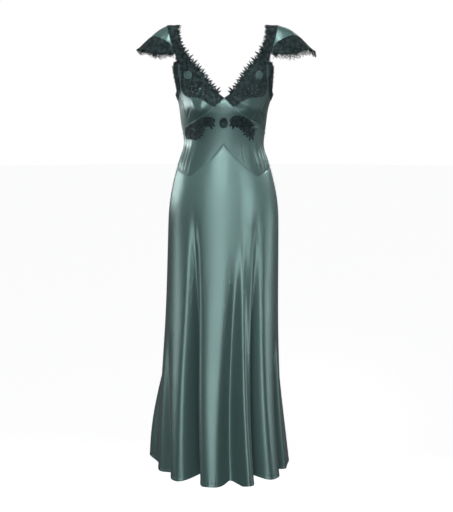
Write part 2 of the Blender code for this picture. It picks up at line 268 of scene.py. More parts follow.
def lengths_along(points: Array, axis: int) -> Array:
    """Distances from the first point, added up along one axis of a grid of points."""
    steps = np.linalg.norm(np.diff(points, axis=axis), axis=-1)
    start = np.zeros_like(np.take(steps, [0], axis=axis))
    return np.cumsum(np.concatenate([start, steps], axis=axis), axis=axis)


def sweep(
    shape: Shape,
    paths: Array,
    normals: Array,
    half_width: Array,
    half_height: Array,
    sides: int = 6,
    closed: bool = False,
) -> None:
    """Carries an oval profile along many paths at once, and adds the tubes to a shape.

    A ring's points are centre + width * cos(turn) * side + height * sin(turn) * normal, where side
    is the path's direction times its normal. The ends of an open path are closed with a fan.

    Args:
        shape: the shape that takes the faces.
        paths: centres, m paths by k points by 3.
        normals: the direction that height is measured in, m by k by 3, or m by 1 by 3.
        half_width: half the profile's width, k or m by k.
        half_height: half its height, k or m by k.
        sides: corners of the profile.
        closed: whether each path is a loop.
    """
    count, length, _ = paths.shape
    if closed:
        ahead = np.roll(paths, -1, axis=1) - np.roll(paths, 1, axis=1)
    else:
        ahead = np.gradient(paths, axis=1)
    ahead = unit(ahead)
    normals = np.broadcast_to(normals, paths.shape)
    aside = unit(np.cross(ahead, normals))
    up = np.cross(aside, ahead)
    turn = np.arange(sides) * (2 * math.pi / sides) + math.pi / sides
    width = np.broadcast_to(half_width, (count, length))[:, :, None, None]
    height = np.broadcast_to(half_height, (count, length))[:, :, None, None]
    rings = (
        paths[:, :, None, :]
        + aside[:, :, None, :] * width * np.cos(turn)[None, None, :, None]
        + up[:, :, None, :] * height * np.sin(turn)[None, None, :, None]
    )
    ring = np.arange(length if closed else length - 1)[:, None] * sides
    after = (ring + sides) % (length * sides)
    corner, next_corner = np.arange(sides)[None, :], (np.arange(sides)[None, :] + 1) % sides
    faces = np.stack(
        [ring + corner, after + corner, after + next_corner, ring + next_corner], axis=-1
    ).reshape(-1, 4)
    caps = None
    if not closed:
        fan = np.array([[0, i, i + 1] for i in range(1, sides - 1)])
        caps = np.concatenate([fan, fan[:, ::-1] + (length - 1) * sides])
    shift = (np.arange(count) * length * sides)[:, None, None]
    points = rings.reshape(-1, 3)
    layout = np.stack([points[:, 0], points[:, 2]], axis=1)
    threes = None if caps is None else (caps[None] + shift).reshape(-1, 3)
    shape.add(points, (faces[None] + shift).reshape(-1, 4), threes, layout)


# ---------------------------------------------------------------- shader graphs


class Signal:
    """A shader socket. Sums and products of signals and numbers add Math nodes."""

    def __init__(self, graph: "Graph", socket: bpy.types.NodeSocket) -> None:
        """Keeps the socket and its graph."""
        self.graph = graph
        self.socket = socket

    def _maths(self, operation: str, *values: Any) -> "Signal":
        """One Math node on these values."""
        return self.graph.node("Math", {"operation": operation}, dict(enumerate(values)))

    def __add__(self, other: Any) -> "Signal":
        """Self plus other."""
        return self._maths("ADD", self, other)

    __radd__ = __add__

    def __sub__(self, other: Any) -> "Signal":
        """Self minus other."""
        return self._maths("SUBTRACT", self, other)

    def __rsub__(self, other: Any) -> "Signal":
        """Other minus self."""
        return self._maths("SUBTRACT", other, self)

    def __mul__(self, other: Any) -> "Signal":
        """Self times other."""
        return self._maths("MULTIPLY", self, other)

    __rmul__ = __mul__

    def sine(self) -> "Signal":
        """The sine of self."""
        return self._maths("SINE", self)

    def step(self, low: float, high: float) -> "Signal":
        """A smooth step from 0 at low to 1 at high."""
        settings = {"interpolation_type": "SMOOTHSTEP", "clamp": True}
        return self.graph.node("MapRange", settings, {"Value": self, "From Min": low, "From Max": high})


class Graph:
    """The node tree of one material, cleared but for a Principled shader and its output."""

    def __init__(self, name: str) -> None:
        """Makes the material.

        Args:
            name: the material's name.
        """
        self.material = bpy.data.materials.new(name)
        self.material.use_nodes = True
        self.tree = self.material.node_tree
        self.tree.nodes.clear()
        self.shader = self.tree.nodes.new("ShaderNodeBsdfPrincipled")
        output = self.tree.nodes.new("ShaderNodeOutputMaterial")
        self.tree.links.new(self.shader.outputs["BSDF"], output.inputs["Surface"])

    def node(
        self, kind: str, settings: dict[str, Any], inputs: dict[Any, Any], output: Any = 0
    ) -> Signal:
        """Adds a node.

        Args:
            kind: the node's type without its prefix, such as "Math".
            settings: its own settings, set first.
            inputs: values or signals of its sockets, by name or index.
            output: the socket that the signal comes from.

        Returns:
            The signal of that output.
        """
        made = self.tree.nodes.new(f"ShaderNode{kind}")
        for key, value in settings.items():
            if key == "stops":
                self._fill_ramp(made, value)
            else:
                setattr(made, key, value)
        for key, value in inputs.items():
            self.feed(made.inputs[key], value)
        return Signal(self, made.outputs[output])

    @staticmethod
    def _fill_ramp(node: bpy.types.Node, stops: Sequence[tuple[float, Sequence[float]]]) -> None:
        """Sets a ramp's stops, each a position and a colour."""
        elements = node.color_ramp.elements
        while len(elements) < len(stops):
            elements.new(0.5)
        for element, (place, colour) in zip(elements, stops):
            element.position, element.color = place, (*colour, 1)

    def feed(self, socket: bpy.types.NodeSocket, value: Any) -> None:
        """Links a signal to a socket, or sets the socket's value."""
        if isinstance(value, Signal):
            self.tree.links.new(value.socket, socket)
        elif isinstance(value, tuple) and len(value) == 3 and socket.type == "RGBA":
            socket.default_value = (*value, 1)
        else:
            socket.default_value = value

    def surface(self, **values: Any) -> None:
        """Feeds the Principled shader, with each socket's name in lower case and underscores."""
        names = {socket.name.lower().replace(" ", "_"): socket for socket in self.shader.inputs}
        for name, value in values.items():
            self.feed(names[name], value)

    def blend(self, mask: Any, low: Any, high: Any) -> Signal:
        """A colour between low where the mask is 0 and high where it is 1."""
        return self.node(
            "Mix", {"data_type": "RGBA"}, {"Factor": mask, 6: low, 7: high}, output=2
        )

    def bump(self, height: Any, strength: float, distance: float, under: Any = None) -> Signal:
        """A normal from heights, over another normal where one is given."""
        inputs = {"Height": height, "Strength": strength, "Distance": distance}
        if under is not None:
            inputs["Normal"] = under
        return self.node("Bump", {}, inputs, output="Normal")

    def on_object(self, scale: Sequence[float]) -> Signal:
        """Object coordinates, stretched by scale."""
        place = self.node("TexCoord", {}, {}, output="Object")
        return self.node("Mapping", {}, {"Vector": place, "Scale": tuple(scale)})

    def on_cloth(self, scale: Sequence[float], turn: float = 0.0) -> Signal:
        """The piece's own UV in metres, turned by an angle and stretched by scale."""
        place = self.node("UVMap", {"uv_map": "cloth"}, {})
        inputs = {"Vector": place, "Scale": tuple(scale), "Rotation": (0, 0, math.radians(turn))}
        return self.node("Mapping", {}, inputs)

    def noise(self, place: Signal, scale: float, detail: float = 2.0) -> Signal:
        """Soft noise from 0 to 1."""
        return self.node("TexNoise", {}, {"Vector": place, "Scale": scale, "Detail": detail})


# ---------------------------------------------------------------- finishes


@dataclass(frozen=True)
class SatinFinish:
    """Heavy satin: a smooth lustrous face with a faint diagonal weave and slight slubs."""

    name: str = "dress_satin"
    colour: tuple[float, float, float] = (0.105, 0.190, 0.180)
    # This colour is painted shade that the satin takes at a glancing angle, a painted sheen.
    edge_colour: tuple[float, float, float] = (0.070, 0.135, 0.130)
    roughness: float = 0.38
    metallic: float = 0.42
    rib_pitch: float = 0.0011
    rib_depth: float = 0.00006
    slub_depth: float = 0.00035

    def material(self) -> bpy.types.Material:
        """Builds the finish.

        The colour is painted darker at a glancing angle, as painted sheen and shade, and deepens a
        little over broad soft patches of random tone.
        The weave is a sine across the diagonal, and slubs are noise drawn out along the warp.

        Returns:
            The material.
        """
        graph = Graph(self.name)
        place = graph.on_object((1, 1, 1))
        broad = graph.noise(place, 9.0)
        warp = graph.noise(graph.on_cloth((900, 26, 1)), 1.0, 3.0)
        # Painted sheen: the base colour is painted darker towards a glancing angle.
        glancing_sheen = graph.node("LayerWeight", {}, {"Blend": 0.35}, output="Facing")
        shade_and_tone = (glancing_sheen * 0.75 + (broad - 0.5) * 0.25 + (warp - 0.5) * 0.15).step(0.0, 1.0)
        rib_place = graph.on_cloth((1 / self.rib_pitch, 1 / self.rib_pitch, 1), 45.0)
        rib = graph.node("SeparateXYZ", {}, {"Vector": rib_place}, output="X")
        ribs = (rib * (2 * math.pi)).sine() * 0.5 + 0.5
        weave = graph.bump(ribs, 0.35, self.rib_depth)
        slubs = graph.bump(warp, 0.30, self.slub_depth, weave)
        graph.surface(
            base_color=graph.blend(shade_and_tone, self.colour, self.edge_colour),
            roughness=(warp - 0.5) * 0.10 + (broad - 0.5) * 0.06 + self.roughness,
            metallic=self.metallic,
            normal=slubs,
        )
        graph.shader.inputs["Specular IOR Level"].default_value = 0.6
        graph.shader.inputs["Sheen Weight"].default_value = 0.12
        graph.shader.inputs["Sheen Roughness"].default_value = 0.4
        return graph.material


@dataclass(frozen=True)
class LaceFinish:
    """Matte corded lace: twisted thread, painted a little lighter than the dark gaps between threads,
    which are painted shade.
    """

    name: str = "trim_lace"
    thread: tuple[float, float, float] = (0.025, 0.045, 0.046)
    # The gaps' colour is painted shade between the threads.
    gap_shade: tuple[float, float, float] = (0.003, 0.008, 0.009)
    mesh_pitch: float = 0.0026
    roughness: float = 0.78

    def material(self) -> bpy.types.Material:
        """Builds the finish.

        Cells of a fine mesh darken the ground between threads, as painted shade in the gaps, and a
        short twist runs along them.

        Returns:
            The material.
        """
        graph = Graph(self.name)
        place = graph.on_object((1, 1, 1))
        cells = graph.node(
            "TexVoronoi",
            {"feature": "DISTANCE_TO_EDGE"},
            {"Vector": place, "Scale": 1 / self.mesh_pitch, "Randomness": 0.55},
            output="Distance",
        )
        # Painted shade: the mesh paints the gaps between threads dark.
        mesh = 1 - cells.step(0.06, 0.22)
        broad = graph.noise(place, 95.0)
        twist = graph.noise(place, 1500.0, 1.0)
        shade_and_tone = mesh * 0.45 + (broad - 0.5) * 3.0 + twist * 0.35
        raised_thread = graph.bump(mesh + twist * 0.5, 0.6, 0.0005)
        graph.surface(
            base_color=graph.blend(shade_and_tone.step(0.1, 1.0), self.gap_shade, self.thread),
            roughness=(twist - 0.5) * 0.15 + self.roughness,
            normal=raised_thread,
        )
        graph.shader.inputs["Specular IOR Level"].default_value = 0.18
        graph.shader.inputs["Sheen Weight"].default_value = 0.06
        return graph.material


@dataclass(frozen=True)
class FloorFinish:
    """A plain pale studio floor."""

    name: str = "studio_floor"
    colour: tuple[float, float, float] = (0.9, 0.9, 0.9)

    def material(self) -> bpy.types.Material:
        """Builds the finish, with faint broad clouding."""
        graph = Graph(self.name)
        broad = graph.noise(graph.on_object((1, 1, 1)), 0.4)
        graph.surface(
            base_color=graph.blend(broad, self.colour, (0.88, 0.88, 0.88)),
            roughness=0.9,
            emission_color=(1.0, 1.0, 1.0),
            emission_strength=0.9,
        )
        return graph.material


@dataclass
class Wardrobe:
    """The finishes, made once, and how a piece is dressed."""

    materials: dict[Slot, bpy.types.Material] = field(default_factory=dict)

    def __post_init__(self) -> None:
        """Makes the lace and the satin, and darker copies of the satin for the cups and the midriff,
        which are painted shade.
        """
        self.materials = {Slot.SATIN: SatinFinish().material(), Slot.LACE: LaceFinish().material()}
        # The cups and the midriff get darker copies of the satin: painted shade.
        cup_painted_shade_colours = (0.060, 0.116, 0.111), (0.042, 0.084, 0.082)
        midriff_painted_shade_colours = (0.064, 0.123, 0.117), (0.044, 0.088, 0.085)
        self.cup_satin = SatinFinish("cup_satin", *cup_painted_shade_colours).material()
        self.cross_satin = SatinFinish("cross_satin", *midriff_painted_shade_colours).material()

    def dress(self, piece: bpy.types.Object, slot: Slot, nodes: Sequence[str] = ()) -> None:
        """Gives a piece its finish and ties it to the body.

        Args:
            piece: the object.
            slot: its finish.
            nodes: the solids that it stands for.
        """
        piece.data.materials.append(self.materials[slot])
        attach(piece, BODY)
        if nodes:
            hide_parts(*nodes)
        LOG.info("%s: %d faces", piece.name, len(piece.data.polygons))


# ---------------------------------------------------------------- the body form


@dataclass(frozen=True)
class Fold:
    """A skirt fold: a trough where the depth is positive and a ridge where it is negative."""

    start_angle: float
    hem_angle: float
    start: float
    depth: float
    half_width: float
    start_width: float = 0.6
    ease: float = 1.3

    def pull(self, angle: Array, drop: Array) -> Array:
        """How far the fold pulls the form inwards.

        The pull grows from nothing at the start to its depth at the hem as a quarter sine to the
        power of ease, and falls off round the body as a bell that widens downwards.

        Args:
            angle: angles round the body.
            drop: distances below the shoulders.

        Returns:
            Distances inwards.
        """
        grown = np.clip((drop - self.start) / (LENGTH - self.start), 0, 1)
        centre = self.start_angle + (self.hem_angle - self.start_angle) * grown
        away = (angle - centre + TURN / 2) % TURN - TURN / 2
        width = self.half_width * (self.start_width + (1 - self.start_width) * grown)
        eased = np.sin(grown * math.pi / 2) ** self.ease
        return self.depth * eased * np.exp(-((away / width) ** 2))


@dataclass(frozen=True)
class Crease:
    """A soft trough or ridge in the cloth, where a height below 0 is a trough.

    It lies at an angle and a drop, leans by heading from straight down towards the wearer's left,
    and reaches half its length and width from its middle.
    """

    angle: float
    drop: float
    heading: float
    length: float
    width: float
    height: float

    def lift(self, angle: Array, drop: Array, radius: Array) -> Array:
        """How far the crease lifts the cloth: a bell across it, and a flat-topped bell along it."""
        sideways = np.radians((angle - self.angle + TURN / 2) % TURN - TURN / 2) * radius
        down = drop - self.drop
        turn = math.radians(self.heading)
        along = down * math.cos(turn) + sideways * math.sin(turn)
        aside = sideways * math.cos(turn) - down * math.sin(turn)
        across_share, along_share = (aside / self.width) ** 2, (along / self.length) ** 4
        return self.height * np.exp(-across_share) * np.exp(-along_share)


# Drop below the shoulders, half width, front depth, back depth, sideways sway.
SECTIONS = Curve(
    (
        (0.000, 0.2000, 0.075, 0.070, 0.000),
        (0.100, 0.1870, 0.090, 0.088, 0.001),
        (0.150, 0.1725, 0.102, 0.098, 0.003),
        (0.200, 0.1498, 0.110, 0.100, 0.0055),
        (0.246, 0.1352, 0.112, 0.096, 0.0038),
        (0.290, 0.1295, 0.105, 0.087, 0.003),
        (0.330, 0.1235, 0.099, 0.081, 0.004),
        (0.365, 0.1230, 0.097, 0.080, 0.003),
        (0.400, 0.1340, 0.100, 0.086, 0.003),
        (0.443, 0.1465, 0.106, 0.098, 0.003),
        (0.530, 0.1645, 0.117, 0.118, 0.003),
        (0.620, 0.1695, 0.126, 0.130, 0.002),
        (0.750, 0.1715, 0.141, 0.141, 0.000),
        (0.900, 0.1750, 0.157, 0.153, -0.003),
        (1.050, 0.1820, 0.175, 0.168, -0.006),
        (1.200, 0.1905, 0.194, 0.185, -0.006),
        (LENGTH, 0.2020, 0.214, 0.204, -0.001),
    )
)
# Angle where a fold starts, angle at the hem, drop where it starts, depth at the hem, half width.
FOLDS = tuple(
    Fold(*row)
    for row in (
        (-66, -64, 0.90, 0.026, 9.0),
        (-31, -29.6, 0.54, 0.086, 7.2),
        (-14, -13, 0.70, -0.004, 9.0),
        (13, 8.8, 0.64, 0.042, 7.9),
        (20, 22, 0.60, -0.020, 5.2),
        (37, 38, 0.56, 0.070, 6.2),
        (70, 73, 0.92, 0.040, 7.0),
        (110, 110, 0.90, -0.022, 11.0),
        (128, 131, 0.66, 0.058, 8.0),
        (153, 157, 0.60, 0.068, 8.0),
        (182, 184, 0.62, 0.072, 8.5),
        (211, 211, 0.58, 0.066, 8.0),
        (234, 233, 0.64, 0.058, 7.0),
        (246, 243, 0.98, -0.062, 10.0),
    )
)


@dataclass(frozen=True)
class BodyForm:
    """The form that every panel lies on: oval sections, the skirt's folds and the bust."""

    shoulder_round: float = 0.050
    bust_height: float = 0.026
    bust_reach: float = 0.048
    bust_reach_down: float = 0.034
    bust_side: float = 0.080
    bust_drop: float = 0.244

    def folds(self, angle: Array, drop: Array) -> Array:
        """All the folds' pulls together."""
        return sum(fold.pull(angle, drop) for fold in FOLDS)

    def point(self, angle: Array, drop: Array) -> Array:
        """Points on the form.

        An oval's point is half width times the sine of the angle and depth times its cosine, with
        the folds taken off along the oval's normal and two bells added for the bust.

        Args:
            angle: degrees round the body from the front centre, towards the wearer's left.
            drop: metres below the shoulders.

        Returns:
            Points, with a last axis of 3.
        """
        angle, drop = np.broadcast_arrays(np.asarray(angle, float), np.asarray(drop, float))
        half_width, front, back, sway = SECTIONS(drop)
        turn = np.radians(angle)
        forwards = np.cos(turn)
        rounding = np.sqrt(1 - (1 - np.clip(drop / self.shoulder_round, 0, 1)) ** 2)
        depth = np.where(forwards >= 0, front, back) * rounding
        inwards = self.folds(angle, drop)
        normal_x, normal_y = depth * np.sin(turn), half_width * forwards
        length = np.maximum(np.hypot(normal_x, normal_y), 1e-9)
        x = half_width * np.sin(turn) + sway - inwards * normal_x / length
        y = -depth * forwards + inwards * normal_y / length
        reach = np.where(drop > self.bust_drop, self.bust_reach_down, self.bust_reach)
        for side in (-1, 1):
            away = ((x - sway - side * self.bust_side) / self.bust_reach) ** 2
            away = away + ((drop - self.bust_drop) / reach) ** 2
            y = y - self.bust_height * np.exp(-away) * np.clip(forwards * 3, 0, 1)
        return np.stack([x, y, -drop], axis=-1)

    def normal(self, angle: Array, drop: Array) -> Array:
        """Outward unit normals: round the body times up."""
        nudge = 1e-4
        around = self.point(angle + 60 * nudge, drop) - self.point(angle - 60 * nudge, drop)
        up = self.point(angle, drop - nudge) - self.point(angle, drop + nudge)
        return unit(np.cross(around, up))

    def angle_at(self, sideways: Array, drop: Array) -> Array:
        """The front angle at which the form is this far sideways."""
        return np.degrees(np.arcsin(np.clip(sideways / SECTIONS.first(drop), -1, 1)))


FORM = BodyForm()

# Seams across the front: angle from the front centre, drop.
CUP_SEAM = Curve(
    (
        (0, 0.2175),
        (16, 0.2500),
        (27, 0.2680),
        (36, 0.2793),
        (46, 0.2893),
        (60, 0.3020),
        (75, 0.3160),
        (90, 0.3270),
    )
)
WAIST_SEAM = Curve(
    (
        (0, 0.3560),
        (21, 0.4080),
        (33, 0.4340),
        (43, 0.4495),
        (54, 0.4435),
        (75, 0.4300),
        (90, SIDE_WAIST_DROP),
    )
)


# ---------------------------------------------------------------- satin panels


@dataclass
class SatinPanel:
    """One satin panel on the body form, as a fine grid with a thin wall.

    place gives the angle and drop at (u, v), u runs round the body towards the wearer's left (or
    the right at the back) and v runs up. forwards is 1 where the panel's side seams meet from the
    front, and -1 where they meet from behind.
    """

    name: str
    place: Places
    columns: Array
    rows: Array
    forwards: int = 1
    creases: Sequence[Crease] = ()
    finishing: Callable[[Array, Array, Array, Array], Array] | None = None
    wall: float = 0.0008

    def points(self) -> Array:
        """The panel's grid, rows by columns: the form, moved out by its creases and edges."""
        u, v = np.meshgrid(self.columns, self.rows)
        angle, drop = self.place(u, v)
        radius = SECTIONS.first(drop)
        lift = np.full(angle.shape, 0.0002)
        for crease in self.creases:
            lift = lift + crease.lift(angle, drop, radius)
        if self.finishing is not None:
            lift = lift + self.finishing(u, v, angle, drop)
        seam = np.array([0, -self.forwards * SEAM_GAP / 2, 0])
        return FORM.point(angle, drop) + FORM.normal(angle, drop) * lift[..., None] + seam

    def build(self, wardrobe: Wardrobe) -> bpy.types.Object:
        """Makes the panel, keeps its cut on it and dresses it.

        Args:
            wardrobe: the finishes.

        Returns:
            The panel's object.
        """
        return make_sheet(self.name, self.points(), self.wall, wardrobe, Slot.SATIN)


def make_sheet(
    name: str,
    points: Array,
    wall: float,
    wardrobe: Wardrobe,
    slot: Slot,
    holes: Array | None = None,
) -> bpy.types.Object:
    """Makes a sheet of cloth from a grid of points, with its wall on the outer side.

    Args:
        name: the piece's name, which is the name of the solid that it stands for as well.
        points: rows by columns by 3.
        wall: its thickness.
        wardrobe: the finishes.
        slot: its finish.
        holes: which faces are left out, rows - 1 by columns - 1.

    Returns:
        The object.
    """
    rows, columns, _ = points.shape
    across, up = lengths_along(points, 1), lengths_along(points, 0)
    middle = across[:, columns // 2][:, None]
    layout = np.stack([across - middle, up], axis=-1).reshape(-1, 2)
    faces = grid_faces(rows, columns)
    if holes is not None:
        faces = faces[~holes.ravel()]
    shape = Shape()
    shape.add(points.reshape(-1, 3), faces, layout=layout)
    made = shape.object(name)
    solidify = made.modifiers.new("wall", "SOLIDIFY")
    solidify.thickness = wall
    solidify.offset = 1
    solidify.use_even_offset = False
    wardrobe.dress(made, slot, [name])
    cut = cut_of(points, holes)
    made["cut"] = [cut.width, cut.length, cut.area]
    return made


def cut_of(points: Array, holes: Array | None = None) -> Cut:
    """The flat cut of a sheet: its longest row and column, and the sum of its faces' areas."""
    one = points[1:, 1:] - points[:-1, :-1]
    other = points[1:, :-1] - points[:-1, 1:]
    areas = np.linalg.norm(np.cross(one, other), axis=-1) / 2
    if holes is not None:
        areas = areas[~holes]
    width = float(lengths_along(points, 1)[:, -1].max())
    length = float(lengths_along(points, 0)[-1].max())
    area = float(np.clip(areas.sum(), 0.3 * width * length, width * length))
    return Cut(width, length, area)


def declare(
    piece: bpy.types.Object
) -> None:
    """Takes the cut kept on a sheet off it again.

    Args:
        piece: the sheet.
    """
    del piece["cut"]


def seam_dip(distance: Array, depth: float = 0.0009, reach: float = 0.0045) -> Array:
    """How far a panel sinks beside a sewn seam: a bell on the distance from the seam."""
    return -depth * np.exp(-((distance / reach) ** 2))


SKIRT_MM = 950.0  # the skirt's height, for the two lists below
HEM_ROWS = (0.5, 1.2, 2.5, 4.5, 6.5, 8.0, 8.6, 9.2, 10.0, 12.0, 14.5, 18.0)  # mm above the hem
WAIST_ROWS = (0.8, 2.0, 3.5, 5.5, 8.0)  # mm below the waist seam


@dataclass
class Skirt:
    """The bias-cut skirt, front and back, with its turned hem."""

    hem_rise: float = 0.002
    hem_lift: float = 0.20
    hem_depth: float = 0.009
    mean_top: float = 0.43
    mean_radius: float = 0.17
    columns: int = 220
    rows: int = 100

    def drop(self, angle: Array, top: Array, v: Array) -> Array:
        """Drops from the hem, which rises to the side seams and in the folds, to the skirt's top."""
        rise = self.hem_rise * np.sin(np.radians(angle)) ** 2
        rise = rise + self.hem_lift * np.abs(FORM.folds(angle, np.full_like(angle, LENGTH)))
        return top + (LENGTH - rise - top) * (1 - v)

    def front_place(self, u: Array, v: Array) -> tuple[Array, Array]:
        """Angles and drops of the front, whose top is the pointed waist seam."""
        angle = SIDE * (2 * u - 1)
        top = WAIST_SEAM.first(np.abs(angle)) + SEAM_GAP
        return angle, self.drop(angle, top, v)

    def back_place(self, u: Array, v: Array) -> tuple[Array, Array]:
        """Angles and drops of the back, whose top is level."""
        angle = SIDE * (2 * u + 1)
        top = np.full_like(angle, SIDE_WAIST_DROP + SEAM_GAP)
        return angle, self.drop(angle, top, v)

    def finishing(self, u: Array, v: Array, angle: Array, drop: Array) -> Array:
        """The hem's turned edge with its stitch groove and puckers, and the seams' dips."""
        from_hem = v * (LENGTH - self.mean_top)
        edge = 0.0005 * (1 - ramp(from_hem, self.hem_depth - 0.001, self.hem_depth + 0.002))
        groove = -0.0005 * bell(from_hem, self.hem_depth, 0.0010)
        pucker = 0.0004 * np.sin(angle * 2.3 + 3 * np.sin(angle * 0.37)) * bell(from_hem, 0.012, 0.016)
        from_side = np.minimum(u, 1 - u) * math.pi * self.mean_radius
        from_top = (1 - v) * (LENGTH - self.mean_top)
        return edge + groove + pucker + seam_dip(from_side) + seam_dip(from_top, 0.0009, 0.0032)

    def build(self, wardrobe: Wardrobe) -> None:
        """Makes both panels, with extra rows and columns beside the hem and the seams."""
        hem_rows = np.array(HEM_ROWS) / SKIRT_MM
        top_rows = 1 - np.array(WAIST_ROWS) / SKIRT_MM
        side_columns = np.array([0.002, 0.005, 0.009])
        rows = spread(self.rows, np.concatenate([hem_rows, top_rows]))
        columns = spread(self.columns, np.concatenate([side_columns, 1 - side_columns]))
        for name, place, forwards, above in (
            ("skirt_front", self.front_place, 1, "midriff_front"),
            ("skirt_back", self.back_place, -1, "bodice_back"),
        ):
            panel = SatinPanel(name, place, columns, rows, forwards, (), self.finishing)
            declare(panel.build(wardrobe))


@dataclass
class Midriff:
    """The shaped panel between the cups and the skirt, gathered at its sides."""

    mean_height: float = 0.125
    mean_radius: float = 0.12
    columns: int = 170
    rows: int = 90

    def place(self, u: Array, v: Array) -> tuple[Array, Array]:
        """Angles and drops between the cup seam and the waist seam."""
        angle = SIDE * (2 * u - 1)
        bottom = WAIST_SEAM.first(np.abs(angle))
        top = CUP_SEAM.first(np.abs(angle)) + SEAM_GAP
        return angle, top + (bottom - top) * (1 - v)

    def finishing(self, u: Array, v: Array, angle: Array, drop: Array) -> Array:
        """The dips beside its seams."""
        from_side = np.minimum(u, 1 - u) * math.pi * self.mean_radius
        from_waist = seam_dip(v * self.mean_height, 0.0012, 0.0030)
        return seam_dip(from_side) + from_waist + seam_dip((1 - v) * self.mean_height, 0.0006)

    def build(self, wardrobe: Wardrobe) -> None:
        """Makes the panel."""
        rows = spread(self.rows, [0.006, 0.014, 0.986, 0.994])
        panel = SatinPanel(
            "midriff_front", self.place, spread(self.columns), rows, 1, MIDRIFF_CREASES, self.finishing
        )
        piece = panel.build(wardrobe)
        # The midriff takes the darker copy of the satin, which is painted shade.
        piece.data.materials[0] = wardrobe.cross_satin
        declare(piece)


MIDRIFF_CREASES: tuple[Crease, ...] = (
    Crease(-68, 0.385, 4, 0.045, 0.0045, 0.0028),
    Crease(-60, 0.400, 2, 0.040, 0.0035, 0.0022),
    Crease(-53, 0.395, -2, 0.045, 0.0040, 0.0024),
    Crease(-45, 0.405, -6, 0.035, 0.0040, 0.0016),
    Crease(-76, 0.395, 6, 0.040, 0.0040, 0.0018),
    Crease(70, 0.380, -4, 0.045, 0.0040, 0.0022),
    Crease(62, 0.390, -2, 0.045, 0.0035, 0.0022),
    Crease(54, 0.385, 0, 0.045, 0.0040, 0.0020),
    Crease(46, 0.395, 4, 0.040, 0.0035, 0.0016),
    Crease(78, 0.395, -6, 0.040, 0.0040, 0.0018),
    Crease(27, 0.375, 2, 0.040, 0.0020, -0.0016),
    Crease(47, 0.305, 82, 0.014, 0.0035, 0.0026),
    Crease(-46, 0.310, 75, 0.014, 0.0040, 0.0014),
)


@dataclass
class BackBodice:
    """The back of the bodice, from the underarms to the waist."""

    neck_dip: float = 0.030
    mean_height: float = 0.2
    mean_radius: float = 0.12
    columns: int = 120
    rows: int = 70

    def top(self, angle: Array) -> Array:
        """Drop of the top edge, lowest at the centre."""
        return UNDERARM_DROP + self.neck_dip * np.cos(np.radians(angle)) ** 2

    def place(self, u: Array, v: Array) -> tuple[Array, Array]:
        """Angles and drops between the waist and the top edge."""
        angle = SIDE * (2 * u + 1)
        return angle, SIDE_WAIST_DROP + (self.top(angle) - SIDE_WAIST_DROP) * v

    def finishing(self, u: Array, v: Array, angle: Array, drop: Array) -> Array:
        """The dips beside its seams and the turned top edge with its stitch groove."""
        from_side = np.minimum(u, 1 - u) * math.pi * self.mean_radius
        from_top = drop - self.top(angle)
        edge = 0.0005 * (1 - ramp(from_top, 0.006, 0.008)) - 0.0004 * bell(from_top, 0.007, 0.001)
        return seam_dip(from_side) + seam_dip(v * self.mean_height) + edge

    def build(self, wardrobe: Wardrobe) -> None:
        """Makes the panel."""
        rows = spread(self.rows, [0.004, 0.01, 0.96, 0.965, 0.97, 0.975, 0.98, 0.99, 0.996])
        panel = SatinPanel(
            "bodice_back", self.place, spread(self.columns), rows, -1, BACK_CREASES, self.finishing
        )
        declare(panel.build(wardrobe))


BACK_CREASES: tuple[Crease, ...] = (
    Crease(125, 0.390, 6, 0.040, 0.0045, 0.0022),
    Crease(140, 0.395, 2, 0.035, 0.0045, 0.0018),
    Crease(112, 0.385, 8, 0.045, 0.0045, 0.0020),
    Crease(235, 0.390, -6, 0.040, 0.0045, 0.0022),
    Crease(222, 0.395, -2, 0.035, 0.0045, 0.0018),
    Crease(248, 0.385, -8, 0.045, 0.0045, 0.0020),
    Crease(180, 0.330, 90, 0.060, 0.0060, 0.0014),
    Crease(160, 0.300, 60, 0.035, 0.0050, 0.0010),
    Crease(200, 0.300, -60, 0.035, 0.0050, 0.0010),
)

CUP_NECK_EDGE = Curve(
    ((0.00, 0.0006, 0.2170), (0.33, 0.0400, 0.1830), (0.66, 0.0780, 0.1400), (1.00, 0.1080, 0.1120))
)
ARMHOLE = Curve(
    (
        (0.00, 50.5, 0.1080),
        (0.20, 53.0, 0.1320),
        (0.45, 56.5, 0.1600),
        (0.70, 63.0, 0.1880),
        (0.88, 74.0, 0.2070),
        (1.00, SIDE, UNDERARM_DROP),
    )
)


